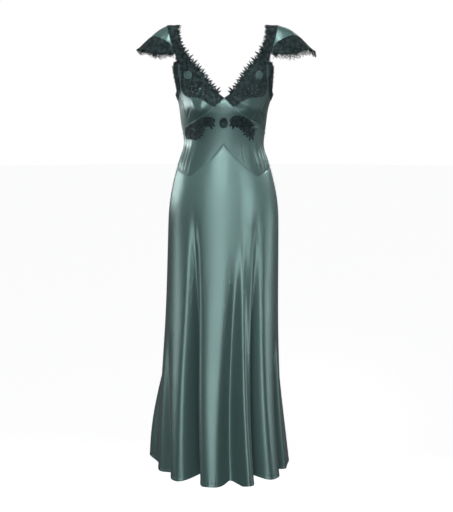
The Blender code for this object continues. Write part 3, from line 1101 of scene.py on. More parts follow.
@dataclass
class Cup:
    """One cup, from the seam under it to its neck edge, the armhole and the side seam."""

    side: Side
    side_share: float = 0.45
    armhole_start: float = 0.08
    seam_start: float = 0.2170
    seam_end: float = 0.3270
    mean_height: float = 0.12
    columns: int = 110
    rows: int = 90

    def outer_edge(self, v: Array) -> tuple[Array, Array]:
        """Angle and drop of the side seam and, above it, of the armhole."""
        seam_share = np.clip(v / self.side_share, 0, 1)
        rising = np.clip((v - self.side_share) / (1 - self.side_share), 0, 1)
        angle, drop = ARMHOLE(1 - rising * (1 - self.armhole_start))
        below = self.seam_end + (UNDERARM_DROP - self.seam_end) * seam_share
        return angle, np.where(v < self.side_share, below, drop)

    def place(self, u: Array, v: Array) -> tuple[Array, Array]:
        """Angles and drops of the left cup, blended from the neck edge out to the side."""
        neck_x, neck_drop = CUP_NECK_EDGE(v)
        neck_angle = FORM.angle_at(neck_x, neck_drop)
        side_angle, side_drop = self.outer_edge(v)
        angle = neck_angle + (side_angle - neck_angle) * u
        straight = self.seam_start + (self.seam_end - self.seam_start) * u
        to_seam = CUP_SEAM.first(SIDE * u) - straight
        drop = neck_drop + (side_drop - neck_drop) * u + to_seam * (1 - v) ** 2
        return angle, drop

    def own_place(self, u: Array, v: Array) -> tuple[Array, Array]:
        """The same for this cup's own side."""
        if self.side is Side.LEFT:
            return self.place(u, v)
        angle, drop = self.place(1 - u, v)
        return -angle, drop

    def finishing(self, u: Array, v: Array, angle: Array, drop: Array) -> Array:
        """The dip beside the seam below."""
        return seam_dip(v * self.mean_height, 0.0006)

    def build(self, wardrobe: Wardrobe) -> None:
        """Makes the cup."""
        creases = CUP_CREASES[self.side]
        panel = SatinPanel(
            f"cup_{self.side.word}",
            self.own_place,
            spread(self.columns),
            spread(self.rows, [0.006, 0.015]),
            1,
            creases,
            self.finishing,
        )
        piece = panel.build(wardrobe)
        # The cup takes the darker copy of the satin, which is painted shade.
        piece.data.materials[0] = wardrobe.cup_satin
        declare(piece)


CUP_CREASES: dict[Side, tuple[Crease, ...]] = {
    Side.LEFT: (
        Crease(27, 0.236, 72, 0.020, 0.0050, 0.0030),
        Crease(20, 0.246, 70, 0.016, 0.0040, -0.0014),
        Crease(58, 0.245, -12, 0.020, 0.0035, 0.0024),
        Crease(44, 0.270, -35, 0.022, 0.0025, -0.0022),
        Crease(60, 0.270, 50, 0.022, 0.0025, -0.0022),
    ),
    Side.RIGHT: (
        Crease(-40, 0.240, 20, 0.018, 0.0060, 0.0022),
        Crease(-28, 0.250, -50, 0.018, 0.0050, 0.0018),
        Crease(-63, 0.235, 12, 0.030, 0.0040, 0.0022),
        Crease(-52, 0.262, -30, 0.018, 0.0040, -0.0016),
    ),
}


# ---------------------------------------------------------------- lace


@dataclass(frozen=True)
class Window:
    """An oval opening in a lace ground, by its place on the patch and its two half widths."""

    u: float
    v: float
    across: float
    along: float
    turn: float = 0.0


@dataclass
class LaceSheet:
    """One lace piece: its ground, and the leaves, flowers, cords and loops that stand on it.

    point is the ground's patch on the wearer's left, and side mirrors it.
    """

    name: str
    point: Patch
    side: Side
    columns: int
    rows: int
    windows: Sequence[Window] = ()
    seed: int = 1
    wall: float = 0.0006
    rise: float = 0.0002
    relief: Shape = field(default_factory=Shape)

    def at(self, u: Array, v: Array) -> Array:
        """Points on the piece's own side. The right side mirrors the left one's points."""
        return imaged(self.point(u, v), self.side)

    def frames(self, u: Array, v: Array) -> tuple[Array, Array, Array, Array]:
        """Points with their unit directions across, along and out of the patch.

        Args:
            u: shares across.
            v: shares along.

        Returns:
            The points, and the three directions, of which out is away from the body.
        """
        nudge = 1e-3
        across = self.at(u + nudge, v) - self.at(u - nudge, v)
        along = self.at(u, v + nudge) - self.at(u, v - nudge)
        out = unit(np.cross(across, along)) * self.side.value
        across = unit(across)
        return self.at(u, v), across, np.cross(out, across), out

    def extent(self) -> tuple[Array, Array, Array]:
        """Lengths along the middle of the patch and widths across it, for 200 shares along."""
        v = np.linspace(0, 1, 200)
        middle = self.at(np.full_like(v, 0.5), v)
        u = np.linspace(0, 1, 9)
        grid = self.at(np.broadcast_to(u, (200, 9)), np.broadcast_to(v[:, None], (200, 9)))
        return v, lengths_along(middle, 0), lengths_along(grid, 1)[:, -1]

    def window_frame(self, window: Window) -> tuple[Array, Array, Array, Array]:
        """A window's centre, the directions of its two half widths and the way out, each 1 by 3."""
        centre, across, along, out = self.frames(np.array([window.u]), np.array([window.v]))
        turn = math.radians(window.turn)
        one = math.cos(turn) * across + math.sin(turn) * along
        return centre, one, math.cos(turn) * along - math.sin(turn) * across, out

    def in_window(self, u: Array, v: Array, margin: float = 0.0) -> Array:
        """Whether places lie in a window, grown by a margin in metres."""
        inside = np.zeros(np.shape(u), bool)
        here = self.at(u, v)
        for window in self.windows:
            centre, one, two, _ = self.window_frame(window)
            away = here - centre
            x = (away * one).sum(-1) / (window.across + margin)
            y = (away * two).sum(-1) / (window.along + margin)
            inside |= x * x + y * y < 1
        return inside

    def ground(self, wardrobe: Wardrobe) -> bpy.types.Object:
        """Makes the ground sheet, open at the windows."""
        u, v = np.meshgrid(np.linspace(0, 1, self.columns), np.linspace(0, 1, self.rows))
        points = self.at(u, v) + self.frames(u, v)[3] * self.rise
        if self.side is Side.RIGHT:
            points, u, v = points[:, ::-1], u[:, ::-1], v[:, ::-1]
        holes = None
        if self.windows:
            middle_u = (u[1:, 1:] + u[:-1, :-1]) / 2
            middle_v = (v[1:, 1:] + v[:-1, :-1]) / 2
            holes = self.in_window(middle_u, middle_v)
        return make_sheet(self.name, points, self.wall, wardrobe, Slot.LACE, holes)

    def leaves(
        self,
        u: Array,
        v: Array,
        heading: Array,
        length: Array,
        width: float = 0.38,
        height: float = 0.0007,
        lift: float = 0.0007,
    ) -> None:
        """Adds leaves: flat ovals that swell to their middle and point at both ends.

        Args:
            u: shares across of each leaf's foot.
            v: shares along of it.
            heading: radians from the across direction towards the along one.
            length: each leaf's length.
            width: half its width as a share of its length.
            height: half its thickness.
            lift: how far its middle stands above the patch.
        """
        centre, across, along, out = self.frames(u, v)
        ahead = np.cos(heading)[:, None] * across + np.sin(heading)[:, None] * along
        share = np.array([0.0, 0.18, 0.5, 0.8, 1.0])
        swell = np.array([0.16, 0.75, 1.0, 0.6, 0.10])
        paths = (
            centre[:, None, :]
            + ahead[:, None, :] * (share[None, :, None] * length[:, None, None])
            + out[:, None, :] * lift
        )
        half = swell[None, :] * (length[:, None] * width / 2)
        sweep(self.relief, paths, out[:, None, :], half, height * swell[None, :] ** 0.5, 6)

    def loops(
        self,
        centre: Array,
        one: Array,
        two: Array,
        out: Array,
        half_one: Array,
        half_two: Array,
        thread: float,
        points: int = 10,
    ) -> None:
        """Adds closed oval loops of thread, each in the plane of its directions one and two."""
        turn = np.arange(points) * (2 * math.pi / points)
        paths = (
            centre[:, None, :]
            + one[:, None, :] * (np.cos(turn)[None, :, None] * half_one[:, None, None])
            + two[:, None, :] * (np.sin(turn)[None, :, None] * half_two[:, None, None])
        )
        size = np.full(points, thread)
        sweep(self.relief, paths, out[:, None, :], size, size, 5, closed=True)

    def rings(self, thread: float = 0.0010, grow: float = 0.0004) -> None:
        """Adds a cord round every window, a little wider than it."""
        for window in self.windows:
            centre, one, two, out = self.window_frame(window)
            half_one, half_two = np.array([window.across + grow]), np.array([window.along + grow])
            self.loops(centre + out * 0.0008, one, two, out, half_one, half_two, thread, 28)

    def cord(self, u: Array, v: Array, thread: float, lift: float = 0.0009) -> None:
        """Adds a cord along places on the patch."""
        points, _, _, out = self.frames(u, v)
        size = np.full(len(u), thread)
        sweep(self.relief, (points + out * lift)[None], out[None], size, size, 6)

    def flowers(self, places: Array, radius: float = 0.0048, petals: int = 5) -> None:
        """Adds flowers: a ring of petals and a small knot in the middle.

        Args:
            places: shares across and along, n by 2.
            radius: from a flower's middle to a petal's tip.
            petals: how many petals a flower has.
        """
        if not len(places):
            return
        u = np.repeat(places[:, 0], petals)
        v = np.repeat(places[:, 1], petals)
        start = np.repeat(np.arange(len(places)) * 0.7, petals)
        heading = start + np.tile(np.arange(petals) * (2 * math.pi / petals), len(places))
        self.leaves(u, v, heading, np.full(len(u), radius), 0.62, 0.0008, 0.0011)
        centre, across, along, out = self.frames(places[:, 0], places[:, 1])
        size = np.full(len(places), 0.0010)
        self.loops(centre + out * 0.0018, across, along, out, size, size, 0.0006, 8)

    def filling(self, pitch: float, leaf: float, margin: float = 0.04) -> None:
        """Fills the ground with small leaves on a staggered lattice, turned as a slow wave."""
        shares, along, width = self.extent()
        rows = max(2, int(along[-1] / (pitch * 0.87)))
        columns = max(2, int(width.max() / pitch))
        i, j = np.meshgrid(np.arange(rows), np.arange(columns), indexing="ij")
        at = (i + 0.5) * along[-1] / rows
        aside = (j + 0.5 * (i % 2)) * pitch - width.max() / 2 + pitch / 2
        generator = np.random.default_rng(self.seed)
        at = at + generator.uniform(-0.25, 0.25, at.shape) * pitch
        aside = aside + generator.uniform(-0.25, 0.25, at.shape) * pitch
        wide = np.interp(at, along, width)
        u, v = 0.5 + aside / np.maximum(wide, 0.002), np.interp(at, along, shares)
        keep = (np.abs(aside) < wide / 2 - 0.0015) & (u > margin) & (u < 1 - margin)
        keep &= ~self.in_window(u, v, 0.0010)
        u, v, at, aside = u[keep], v[keep], at[keep], aside[keep]
        wave = 1.3 * np.sin(at * 2 * math.pi / 0.030) + 1.2 * np.sin(aside * 2 * math.pi / 0.021)
        heading = wave + generator.uniform(-0.5, 0.5, len(u))
        self.leaves(u, v, heading, leaf * generator.uniform(0.75, 1.15, len(u)))

    def edging(
        self,
        u: Array,
        v: Array,
        outward: float,
        scallop: float,
        depth: float,
        petals: int = 5,
        picot: float = 0.0011,
    ) -> None:
        """Adds a cord and a row of scallops along an edge of the patch.

        Each scallop is a fan of leaves of which the middle one is longest, with a small loop at
        each tip. The fans' side is settled by the way that u rises, so it is certain only for an
        edge that runs along v. Along an edge that runs along u, some fans fall inwards.

        Args:
            u: shares across of the edge's points.
            v: shares along of them.
            outward: 1 where u rises off an edge that runs along v, and -1 where it falls.
            scallop: the distance from scallop to scallop.
            depth: the middle leaf's length.
            petals: leaves in each fan.
            picot: a loop's half width, or 0 for none.
        """
        points, _, _, out = self.frames(u, v)
        self.cord(u, v, 0.0008)
        run = lengths_along(points, 0)
        count = max(2, int(round(run[-1] / scallop)))
        at = (np.arange(count) + 0.5) * run[-1] / count
        ahead = unit(np.gradient(points, axis=0))
        place = np.stack([np.interp(at, run, points[:, k]) for k in range(3)], axis=1)
        ahead = unit(np.stack([np.interp(at, run, ahead[:, k]) for k in range(3)], axis=1))
        out = unit(np.stack([np.interp(at, run, out[:, k]) for k in range(3)], axis=1))
        edge_u = np.interp(at, run, u)
        edge_v = np.interp(at, run, v)
        inward = self.at(edge_u - outward * 0.02, edge_v) - self.at(edge_u + outward * 0.02, edge_v)
        off = np.cross(out, ahead)
        off = unit(off) * -np.sign((off * inward).sum(-1, keepdims=True))
        self.fans(place, ahead, off, out, run[-1] / count, depth, petals, picot)

    def fans(
        self,
        place: Array,
        ahead: Array,
        off: Array,
        out: Array,
        scallop: float,
        depth: float,
        petals: int,
        picot: float,
    ) -> None:
        """Adds a rounded lobe at each place, and a fan of pointed leaves with a loop at each tip."""
        share = np.linspace(-1, 1, 9)
        lobe = place[:, None, :] + ahead[:, None, :] * (share[None, :, None] * scallop * 0.46)
        lobe_swell = depth * 0.36 * np.sqrt(np.clip(1.02 - share**2, 0, 1))
        sweep(self.relief, lobe + out[:, None, :] * 0.0004, out[:, None, :], lobe_swell, 0.0007, 6)
        spot = (np.arange(petals) + 0.5) / petals * 2 - 1
        lean = spot * 0.75 + 0.22 * np.sin(np.arange(petals) * 5.1 + 1)
        root = place[:, None, :] + ahead[:, None, :] * (spot[None, :, None] * scallop * 0.42)
        way = (
            np.cos(lean)[None, :, None] * off[:, None, :]
            + np.sin(lean)[None, :, None] * ahead[:, None, :]
        )
        root = root.reshape(-1, 3)
        way = way.reshape(-1, 3)
        outs = np.repeat(out, petals, axis=0)
        uneven = 1 + 0.28 * np.sin(np.arange(len(root)) * 2.4)
        reach = np.tile(depth * (0.30 + 0.70 * np.cos(spot * 1.2)), len(place)) * uneven
        share = np.array([0.0, 0.4, 0.75, 0.92, 1.0])
        swell = np.array([1.0, 1.0, 0.72, 0.42, 0.14])
        paths = root[:, None, :] + way[:, None, :] * (share[None, :, None] * reach[:, None, None])
        paths = paths + outs[:, None, :] * 0.0007
        half = np.full((len(root), 1), min(0.0040, scallop / petals * 0.5)) * swell[None, :]
        sweep(self.relief, paths, outs[:, None, :], half, 0.0008 * swell[None, :] ** 0.5, 6)
        if picot:
            tips = root + way * (reach + picot * 0.5)[:, None] + outs * 0.0005
            size = np.full(len(tips), picot)
            self.loops(tips, way, np.cross(outs, way), outs, size * 1.25, size, picot * 0.38, 8)

    def build(self, wardrobe: Wardrobe, rests: Sequence[str]) -> None:
        """Makes the ground and the relief on it."""
        ground = self.ground(wardrobe)
        if self.relief.count:
            relief = self.relief.object(f"{self.name}_relief")
            wardrobe.dress(relief, Slot.LACE, [self.name])
        declare(ground)


NECK_EDGE = Curve(
    (
        (0.00, 0.0006, 0.2150),
        (0.20, 0.0354, 0.1860),
        (0.40, 0.0628, 0.1455),
        (0.60, 0.0898, 0.1140),
        (0.75, 0.1116, 0.0870),
        (0.85, 0.1250, 0.0640),
        (0.93, 0.1355, 0.0380),
        (1.00, 0.1420, 0.0000),
    )
)
LACE_EDGE = Curve(
    (
        (0.00, 0.0006, 0.2165),
        (0.10, 0.0290, 0.2370),
        (0.22, 0.0620, 0.2190),
        (0.36, 0.0960, 0.2110),
        (0.48, 0.1205, 0.2010),
        (0.56, 0.1262, 0.1800),
        (0.64, 0.1245, 0.1540),
        (0.72, 0.1265, 0.1270),
        (0.79, 0.1345, 0.1030),
        (0.85, 0.1435, 0.0800),
        (0.93, 0.1560, 0.0380),
        (1.00, 0.1665, 0.0000),
    )
)
STRAP_INNER = Curve(
    (
        (0.00, 0.0800, UNDERARM_DROP),
        (0.40, 0.0980, 0.1500),
        (0.65, 0.1180, 0.0950),
        (0.84, 0.1350, 0.0450),
        (1.00, 0.1420, 0.0000),
    )
)
STRAP_OUTER = Curve(((0.00, 0.1220, UNDERARM_DROP), (0.35, 0.1340, 0.1500), (0.60, 0.1435, 0.0800)))
SLEEVE_SHARE = 0.88
STRAP_SLEEVE_SHARE = 0.60
ON_SATIN = 0.0012
FRONT_SEAM = np.array([0, -SEAM_GAP / 2, 0])


@dataclass
class NeckLace:
    """The lace band down one side of the V neck, from its foot to the shoulder."""

    side: Side

    def point(self, u: Array, v: Array) -> Array:
        """The band's patch: u from the neck edge outwards, v up to the shoulder."""
        share = np.sin(v * math.pi / 2)
        near_x, near_drop = NECK_EDGE(share)
        far_x, far_drop = LACE_EDGE(share)
        drop = np.maximum(near_drop + (far_drop - near_drop) * u, 0)
        return FORM.point(FORM.angle_at(near_x + (far_x - near_x) * u, drop), drop) + FRONT_SEAM

    def build(self, wardrobe: Wardrobe) -> None:
        """Makes the band with its windows, leaves, flowers and scalloped edges."""
        lace = LaceSheet(
            f"neck_lace_{self.side.word}",
            raised(self.point, ON_SATIN),
            self.side,
            44,
            220,
            NECK_WINDOWS,
            seed=11,
        )
        lace.rings()
        lace.filling(0.0066, 0.0088)
        edge = np.linspace(0.055, 0.985, 160)
        lace.edging(np.zeros(160), edge, -1, 0.0225, 0.0130, 3, 0.0013)
        lace.cord(np.ones(80), np.linspace(0.5, 1.0, 80), 0.0012)
        lower = np.linspace(0.05, 0.52, 90)
        lace.edging(np.ones(90), lower, 1, 0.0130, 0.0050, 3, 0)
        places = np.array([(0.30 + 0.34 * (i % 2), 0.10 + 0.052 * i) for i in range(17)])
        places = places[~lace.in_window(places[:, 0], places[:, 1], 0.005)]
        lace.flowers(places)
        lace.build(wardrobe, [f"cup_{self.side.word}", f"cap_sleeve_{self.side.word}"])


NECK_WINDOWS: tuple[Window, ...] = (
    Window(0.50, 0.385, 0.0130, 0.0145, 20),
    Window(0.62, 0.285, 0.0028, 0.0048, 30),
    Window(0.74, 0.270, 0.0026, 0.0050, -20),
    Window(0.55, 0.250, 0.0024, 0.0040, 60),
    Window(0.68, 0.235, 0.0026, 0.0046, 10),
    Window(0.82, 0.245, 0.0028, 0.0060, -35),
    Window(0.56, 0.205, 0.0024, 0.0040, 40),
    Window(0.70, 0.200, 0.0024, 0.0044, -10),
    Window(0.84, 0.205, 0.0026, 0.0048, 30),
    Window(0.62, 0.165, 0.0022, 0.0036, 20),
    Window(0.76, 0.160, 0.0024, 0.0040, -30),
)


@dataclass
class BackStrap:
    """The lace strap from the shoulder down to the back's top edge."""

    side: Side
    neck_dip: float = 0.030
    foot_share: float = 0.4

    def point(self, u: Array, v: Array) -> Array:
        """The strap's patch: u towards the neck, v up to the shoulder."""
        share = np.sin(v * math.pi / 2)
        near_x, near_drop = STRAP_INNER(share)
        sleeve_share = 1 - (1 - share) / (1 - STRAP_SLEEVE_SHARE) * (1 - SLEEVE_SHARE)
        high = LACE_EDGE(np.clip(sleeve_share, SLEEVE_SHARE, 1))
        low = STRAP_OUTER(np.clip(share, 0, STRAP_SLEEVE_SHARE))
        far_x, far_drop = (np.where(share > STRAP_SLEEVE_SHARE, h, l) for h, l in zip(high, low))
        drop = np.maximum(far_drop + (near_drop - far_drop) * u, 0)
        angle = 2 * SIDE - FORM.angle_at(far_x + (near_x - far_x) * u, drop)
        foot = self.neck_dip * np.cos(np.radians(angle)) ** 2 - SEAM_GAP
        return FORM.point(angle, drop + foot * np.clip(1 - share / self.foot_share, 0, 1)) - FRONT_SEAM

    def build(self, wardrobe: Wardrobe) -> None:
        """Makes the strap with its leaves, flowers and scalloped edges."""
        lace = LaceSheet(
            f"strap_back_{self.side.word}", raised(self.point, ON_SATIN), self.side, 26, 150, seed=12
        )
        lace.filling(0.0066, 0.0088)
        edge = np.linspace(0.01, 0.985, 120)
        lace.edging(np.ones(120), edge, 1, 0.0225, 0.0120, 3, 0.0013)
        outer = np.linspace(0.02, 0.40, 60)
        lace.edging(np.zeros(60), outer, -1, 0.0120, 0.0040, 3)
        places = np.array([(0.35 + 0.3 * (i % 2), 0.06 + 0.085 * i) for i in range(11)])
        lace.flowers(places)
        lace.build(wardrobe, ["bodice_back", f"neck_lace_{self.side.word}"])


@dataclass
class ArmholeLace:
    """The narrow lace along the front of an armhole."""

    side: Side
    inside: float = 0.009
    outside: float = 0.007
    foot: float = 0.35
    grown: float = 0.35
    taper: float = 0.16
    least: float = 0.05

    def point(self, u: Array, v: Array) -> Array:
        """A strip across the armhole's edge: u outwards from the satin, v up from the underarm."""
        nudge = 1e-3

        def edge(share: Array) -> Array:
            """Points on the armhole's edge."""
            return FORM.point(*ARMHOLE(np.clip(share, 0, 1))) + FRONT_SEAM

        share = 1 - v
        angle, drop = ARMHOLE(share)
        along = edge(share - nudge) - edge(share + nudge)
        outwards = unit(np.cross(along, FORM.normal(angle, drop)))
        grown = np.clip(v / self.grown, 0, 1)
        outside = self.outside * (self.foot + (1 - self.foot) * grown)
        outside = outside * np.clip((1 - v) / self.taper, self.least, 1)
        reach = -self.inside + (self.inside + outside) * u
        return edge(share) + outwards * reach[..., None]

    def build(self, wardrobe: Wardrobe) -> None:
        """Makes the strip with its leaves and edges."""
        lace = LaceSheet(
            f"armhole_lace_{self.side.word}", raised(self.point, ON_SATIN), self.side, 10, 110, seed=13
        )
        lace.filling(0.0042, 0.0048, 0.02)
        edge = np.linspace(0.02, 0.98, 110)
        lace.edging(np.ones(110), edge, 1, 0.0120, 0.0048, 2, 0.0008)
        lace.edging(np.zeros(110), edge, -1, 0.0090, 0.0024, 3, 0)
        lace.build(wardrobe, [f"cup_{self.side.word}"])


@dataclass(frozen=True)
class SleeveCut:
    """The hem and the crown of one cap sleeve."""

    hem: Curve
    crown: float


SLEEVES: dict[Side, SleeveCut] = {
    Side.RIGHT: SleeveCut(
        Curve(
            (
                (0.0, 0.2560, 0.000, 0.0690),
                (0.3, 0.2330, 0.034, 0.0680),
                (0.6, 0.2010, 0.056, 0.0800),
                (0.8, 0.1750, 0.064, 0.0800),
                (1.0, 0.1500, 0.062, 0.0840),
            )
        ),
        0.045,
    ),
    Side.LEFT: SleeveCut(
        Curve(
            (
                (0.0, 0.2750, 0.000, 0.0740),
                (0.3, 0.2460, 0.036, 0.0660),
                (0.6, 0.2090, 0.058, 0.0790),
                (0.8, 0.1790, 0.064, 0.0800),
                (1.0, 0.1500, 0.062, 0.0840),
            )
        ),
        0.090,
    ),
}


@dataclass
class CapSleeve:
    """A cap sleeve of satin, with lace over its outer part and loops along its hem."""

    side: Side
    crown_place: float = 1.5
    crown_out: float = 0.5
    crown_lean: float = 0.8
    crown_sink: float = 0.6
    lace_round: float = 0.985
    lace_start: float = 0.62
    lace_end: float = 1.06
    lace_spread: float = 0.40
    columns: int = 96
    rows: int = 56

    def satin(self, u: Array, v: Array) -> Array:
        """The sleeve's patch: u from front to back over the shoulder, v from the hem to the seam."""
        cut = SLEEVES[self.side]
        from_tip = np.abs(2 * u - 1)
        backwards = np.where(u > 0.5, 1.0, -1.0)
        seam_x, seam_drop = LACE_EDGE(1 - (1 - SLEEVE_SHARE) * from_tip**2)
        seam_drop = np.maximum(seam_drop, 0)
        angle = FORM.angle_at(seam_x, seam_drop)
        seam = FORM.point(np.where(backwards > 0, 2 * SIDE - angle, angle), seam_drop)
        seam = seam + (SLEEVE_GAP, 0, 0)
        hem_x, hem_forwards, hem_drop = cut.hem(from_tip)
        rim = np.stack([hem_x, hem_forwards * backwards, -hem_drop], axis=-1)
        chord = rim - seam
        length = np.linalg.norm(chord, axis=-1)
        outwards = np.full_like(length, self.crown_out)
        lean = backwards * from_tip * self.crown_lean
        up = np.stack([outwards, lean, 1 - self.crown_sink * from_tip], axis=-1)
        rise = cut.crown * np.sin(math.pi * np.clip(v, 0, 1) ** self.crown_place) * length
        return seam + chord * (1 - v)[..., None] + up * rise[..., None]

    def lace(self, u: Array, v: Array) -> Array:
        """The lace's patch over the sleeve, a little past its hem."""
        start = self.lace_start - self.lace_spread * np.abs(2 * u - 1)
        share = self.lace_end + (start - self.lace_end) * v
        return self.satin(0.5 + (u - 0.5) * self.lace_round, 1 - share)

    def build(self, wardrobe: Wardrobe) -> None:
        """Makes the sleeve, its lace and the loops."""
        u, v = np.meshgrid(np.linspace(0, 1, self.columns), spread(self.rows, [0.01, 0.02]))
        points = mirrored(raised(self.satin, 0.0002), self.side)(u, v)
        satin = make_sheet(f"cap_sleeve_{self.side.word}", points, 0.0008, wardrobe, Slot.SATIN)
        declare(satin)
        lace = LaceSheet(
            f"sleeve_lace_{self.side.word}",
            raised(self.lace, ON_SATIN),
            self.side,
            110,
            26,
            seed=14,
        )
        lace.filling(0.0044, 0.0050, 0.01)
        edge = np.linspace(0.01, 0.99, 140)
        lace.edging(edge, np.zeros(140), -1, 0.0160, 0.0070, 4, 0.0009)
        self.fringe(lace)
        lace.build(wardrobe, [f"cap_sleeve_{self.side.word}"])

    def fringe(self, lace: LaceSheet) -> None:
        """Adds long thin thread loops that hang from the sleeve's hem, by turns long and short."""
        count = 74
        u = np.linspace(0.02, 0.98, count)
        points, across, along, out = lace.frames(u, np.zeros(count))
        turn = np.arange(count)
        lean = 0.35 * np.sin(turn * 1.9)
        down = unit(np.array([0, 0, -1.0]) - along * 0.6 + across * lean[:, None])
        length = (0.0085 + 0.0030 * np.sin(turn * 2.7)) * np.clip(1.6 - np.abs(2 * u - 1), 0.5, 1)
        aside = unit(np.cross(out, down))
        wide = np.full(count, 0.0022)
        centre = points + down * (length * 0.9)[:, None]
        lace.loops(centre, down, aside, out, length, wide, 0.00055, 14)


MIDRIFF_OUTLINES: dict[Side, Curve] = {
    Side.RIGHT: Curve(
        (
            (11, 0.0380, 0.007),
            (18, 0.0200, 0.026),
            (25, 0.0085, 0.026),
            (36, 0.0060, 0.045),
            (47, 0.0050, 0.043),
            (58, 0.0050, 0.030),
            (70, 0.0050, 0.014),
        )
    ),
    Side.LEFT: Curve(
        (
            (8, 0.0440, 0.008),
            (13, 0.0280, 0.026),
            (20, 0.0130, 0.029),
            (28, 0.0070, 0.034),
            (36, 0.0060, 0.044),
            (42, 0.0100, 0.038),
            (47, 0.0240, 0.014),
        )
    ),
}


@dataclass
class MidriffLace:
    """The spray of lace under a cup."""

    side: Side

    def point(self, u: Array, v: Array) -> Array:
        """The spray's patch for the wearer's left: u outwards, v up to the cup seam."""
        outline = MIDRIFF_OUTLINES[self.side]
        first, last = outline.place[0], outline.place[-1]
        angle = first + (last - first) * u
        below, height = outline(angle)
        return FORM.point(angle, CUP_SEAM.first(angle) + below + height * (1 - v))

    def build(self, wardrobe: Wardrobe) -> None:
        """Makes the spray with its leaves and its uneven lower edge."""
        lace = LaceSheet(
            f"midriff_lace_{self.side.word}", raised(self.point, ON_SATIN), self.side, 70, 30, seed=15
        )
        lace.filling(0.0044, 0.0055, 0.03)
        edge = np.linspace(0.03, 0.97, 90)
        lace.edging(edge, np.zeros(90), -1, 0.0180, 0.0105, 2, 0)
        lace.edging(edge, np.ones(90), 1, 0.0160, 0.0070, 2, 0)
        lace.build(wardrobe, ["midriff_front"])


@dataclass
class CentreMotif:
    """The drop-shaped motif at the front centre of the midriff."""

    drop: float = 0.2740
    height: float = 0.031
    half_width: float = 0.0115
    tip: float = 0.001
    fullness: float = 1.9
    foot: float = 0.06

    def point(self, u: Array, v: Array) -> Array:
        """A drop shape, pointed at its top."""
        height = np.clip(v, 0, 1)
        swell = np.sqrt((self.foot + height) * (1 - height)) * self.fullness
        half = self.half_width * swell + self.tip
        drop = self.drop + self.height * (1 - v)
        return FORM.point(FORM.angle_at((2 * u - 1) * half, drop), drop)

    def build(self, wardrobe: Wardrobe) -> None:
        """Makes the motif with its leaves."""
        lace = LaceSheet("midriff_motif", raised(self.point, ON_SATIN), Side.LEFT, 20, 30, seed=16)
        lace.filling(0.0040, 0.0045, 0.06)
        lace.build(wardrobe, ["midriff_front"])


# ---------------------------------------------------------------- sewing


@dataclass
class Piping:
    """The narrow satin piping sewn into the seam under the cups."""

    radius: float = 0.0011
    lift: float = 0.0011

    def build(self, wardrobe: Wardrobe) -> None:
        """Makes one run from side seam to side seam along the two cup seams."""
        angle = np.linspace(-89.0, 89.0, 420)
        drop = CUP_SEAM.first(np.abs(angle)) - 0.0004
        points = FORM.point(angle, drop) + FORM.normal(angle, drop) * self.lift + FRONT_SEAM
        shape = Shape()
        size = np.full(len(angle), self.radius)
        sweep(shape, points[None], FORM.normal(angle, drop)[None], size, size, 10)
        wardrobe.dress(shape.object("cup_seam_piping"), Slot.SATIN)


# ---------------------------------------------------------------- the studio


@dataclass(frozen=True)
class SoftBox:
    """A soft box: its place, what it is aimed at, its size, its watts and its opening in degrees."""

    name: str
    place: tuple[float, float, float]
    target: tuple[float, float, float]
    size: tuple[float, float]
    power: float
    opening: float = 180.0


SOFT_BOXES = (
    SoftBox("key", (-0.4, -3.6, -0.3), (0, 0, -1.05), (2.0, 2.0), 7.4, 60),
    SoftBox("low", (0.2, -3.2, -1.5), (0, 0, -1.15), (1.6, 0.9), 15),
    SoftBox("hip", (2.3, -2.7, -0.1), (0.03, 0, -0.55), (0.5, 0.5), 0.24, 13),
    SoftBox("upper", (-0.3, -3.1, 1.2), (0, 0, -0.12), (0.5, 0.5), 0.75, 13),
    SoftBox("top", (0, -1.0, 1.8), (0, 0, -0.10), (0.8, 0.5), 2.2, 40),
    SoftBox("rim_left", (-2.0, 1.5, -0.25), (-0.12, 0, -0.30), (0.3, 0.3), 0.13, 10),
    SoftBox("waist_left", (-2.6, 0.7, -0.15), (-0.12, 0, -0.365), (0.4, 0.3), 0.15, 5),
    SoftBox("rim_right", (2.3, 0.6, 0.55), (0.12, 0, -0.38), (0.3, 0.3), 0.12, 10),
    SoftBox("ridge_left", (-3.2, 0.3, -1.0), (-0.1, 0, -1.0), (0.5, 0.9), 0.5, 30),
    SoftBox("ridge_right", (3.2, 0.3, -1.1), (0.1, 0, -1.1), (0.5, 0.9), 0.6, 30),
    SoftBox("back", (0.8, 3.4, 0.6), (0, 0, -0.7), (1.4, 1.8), 42),
)


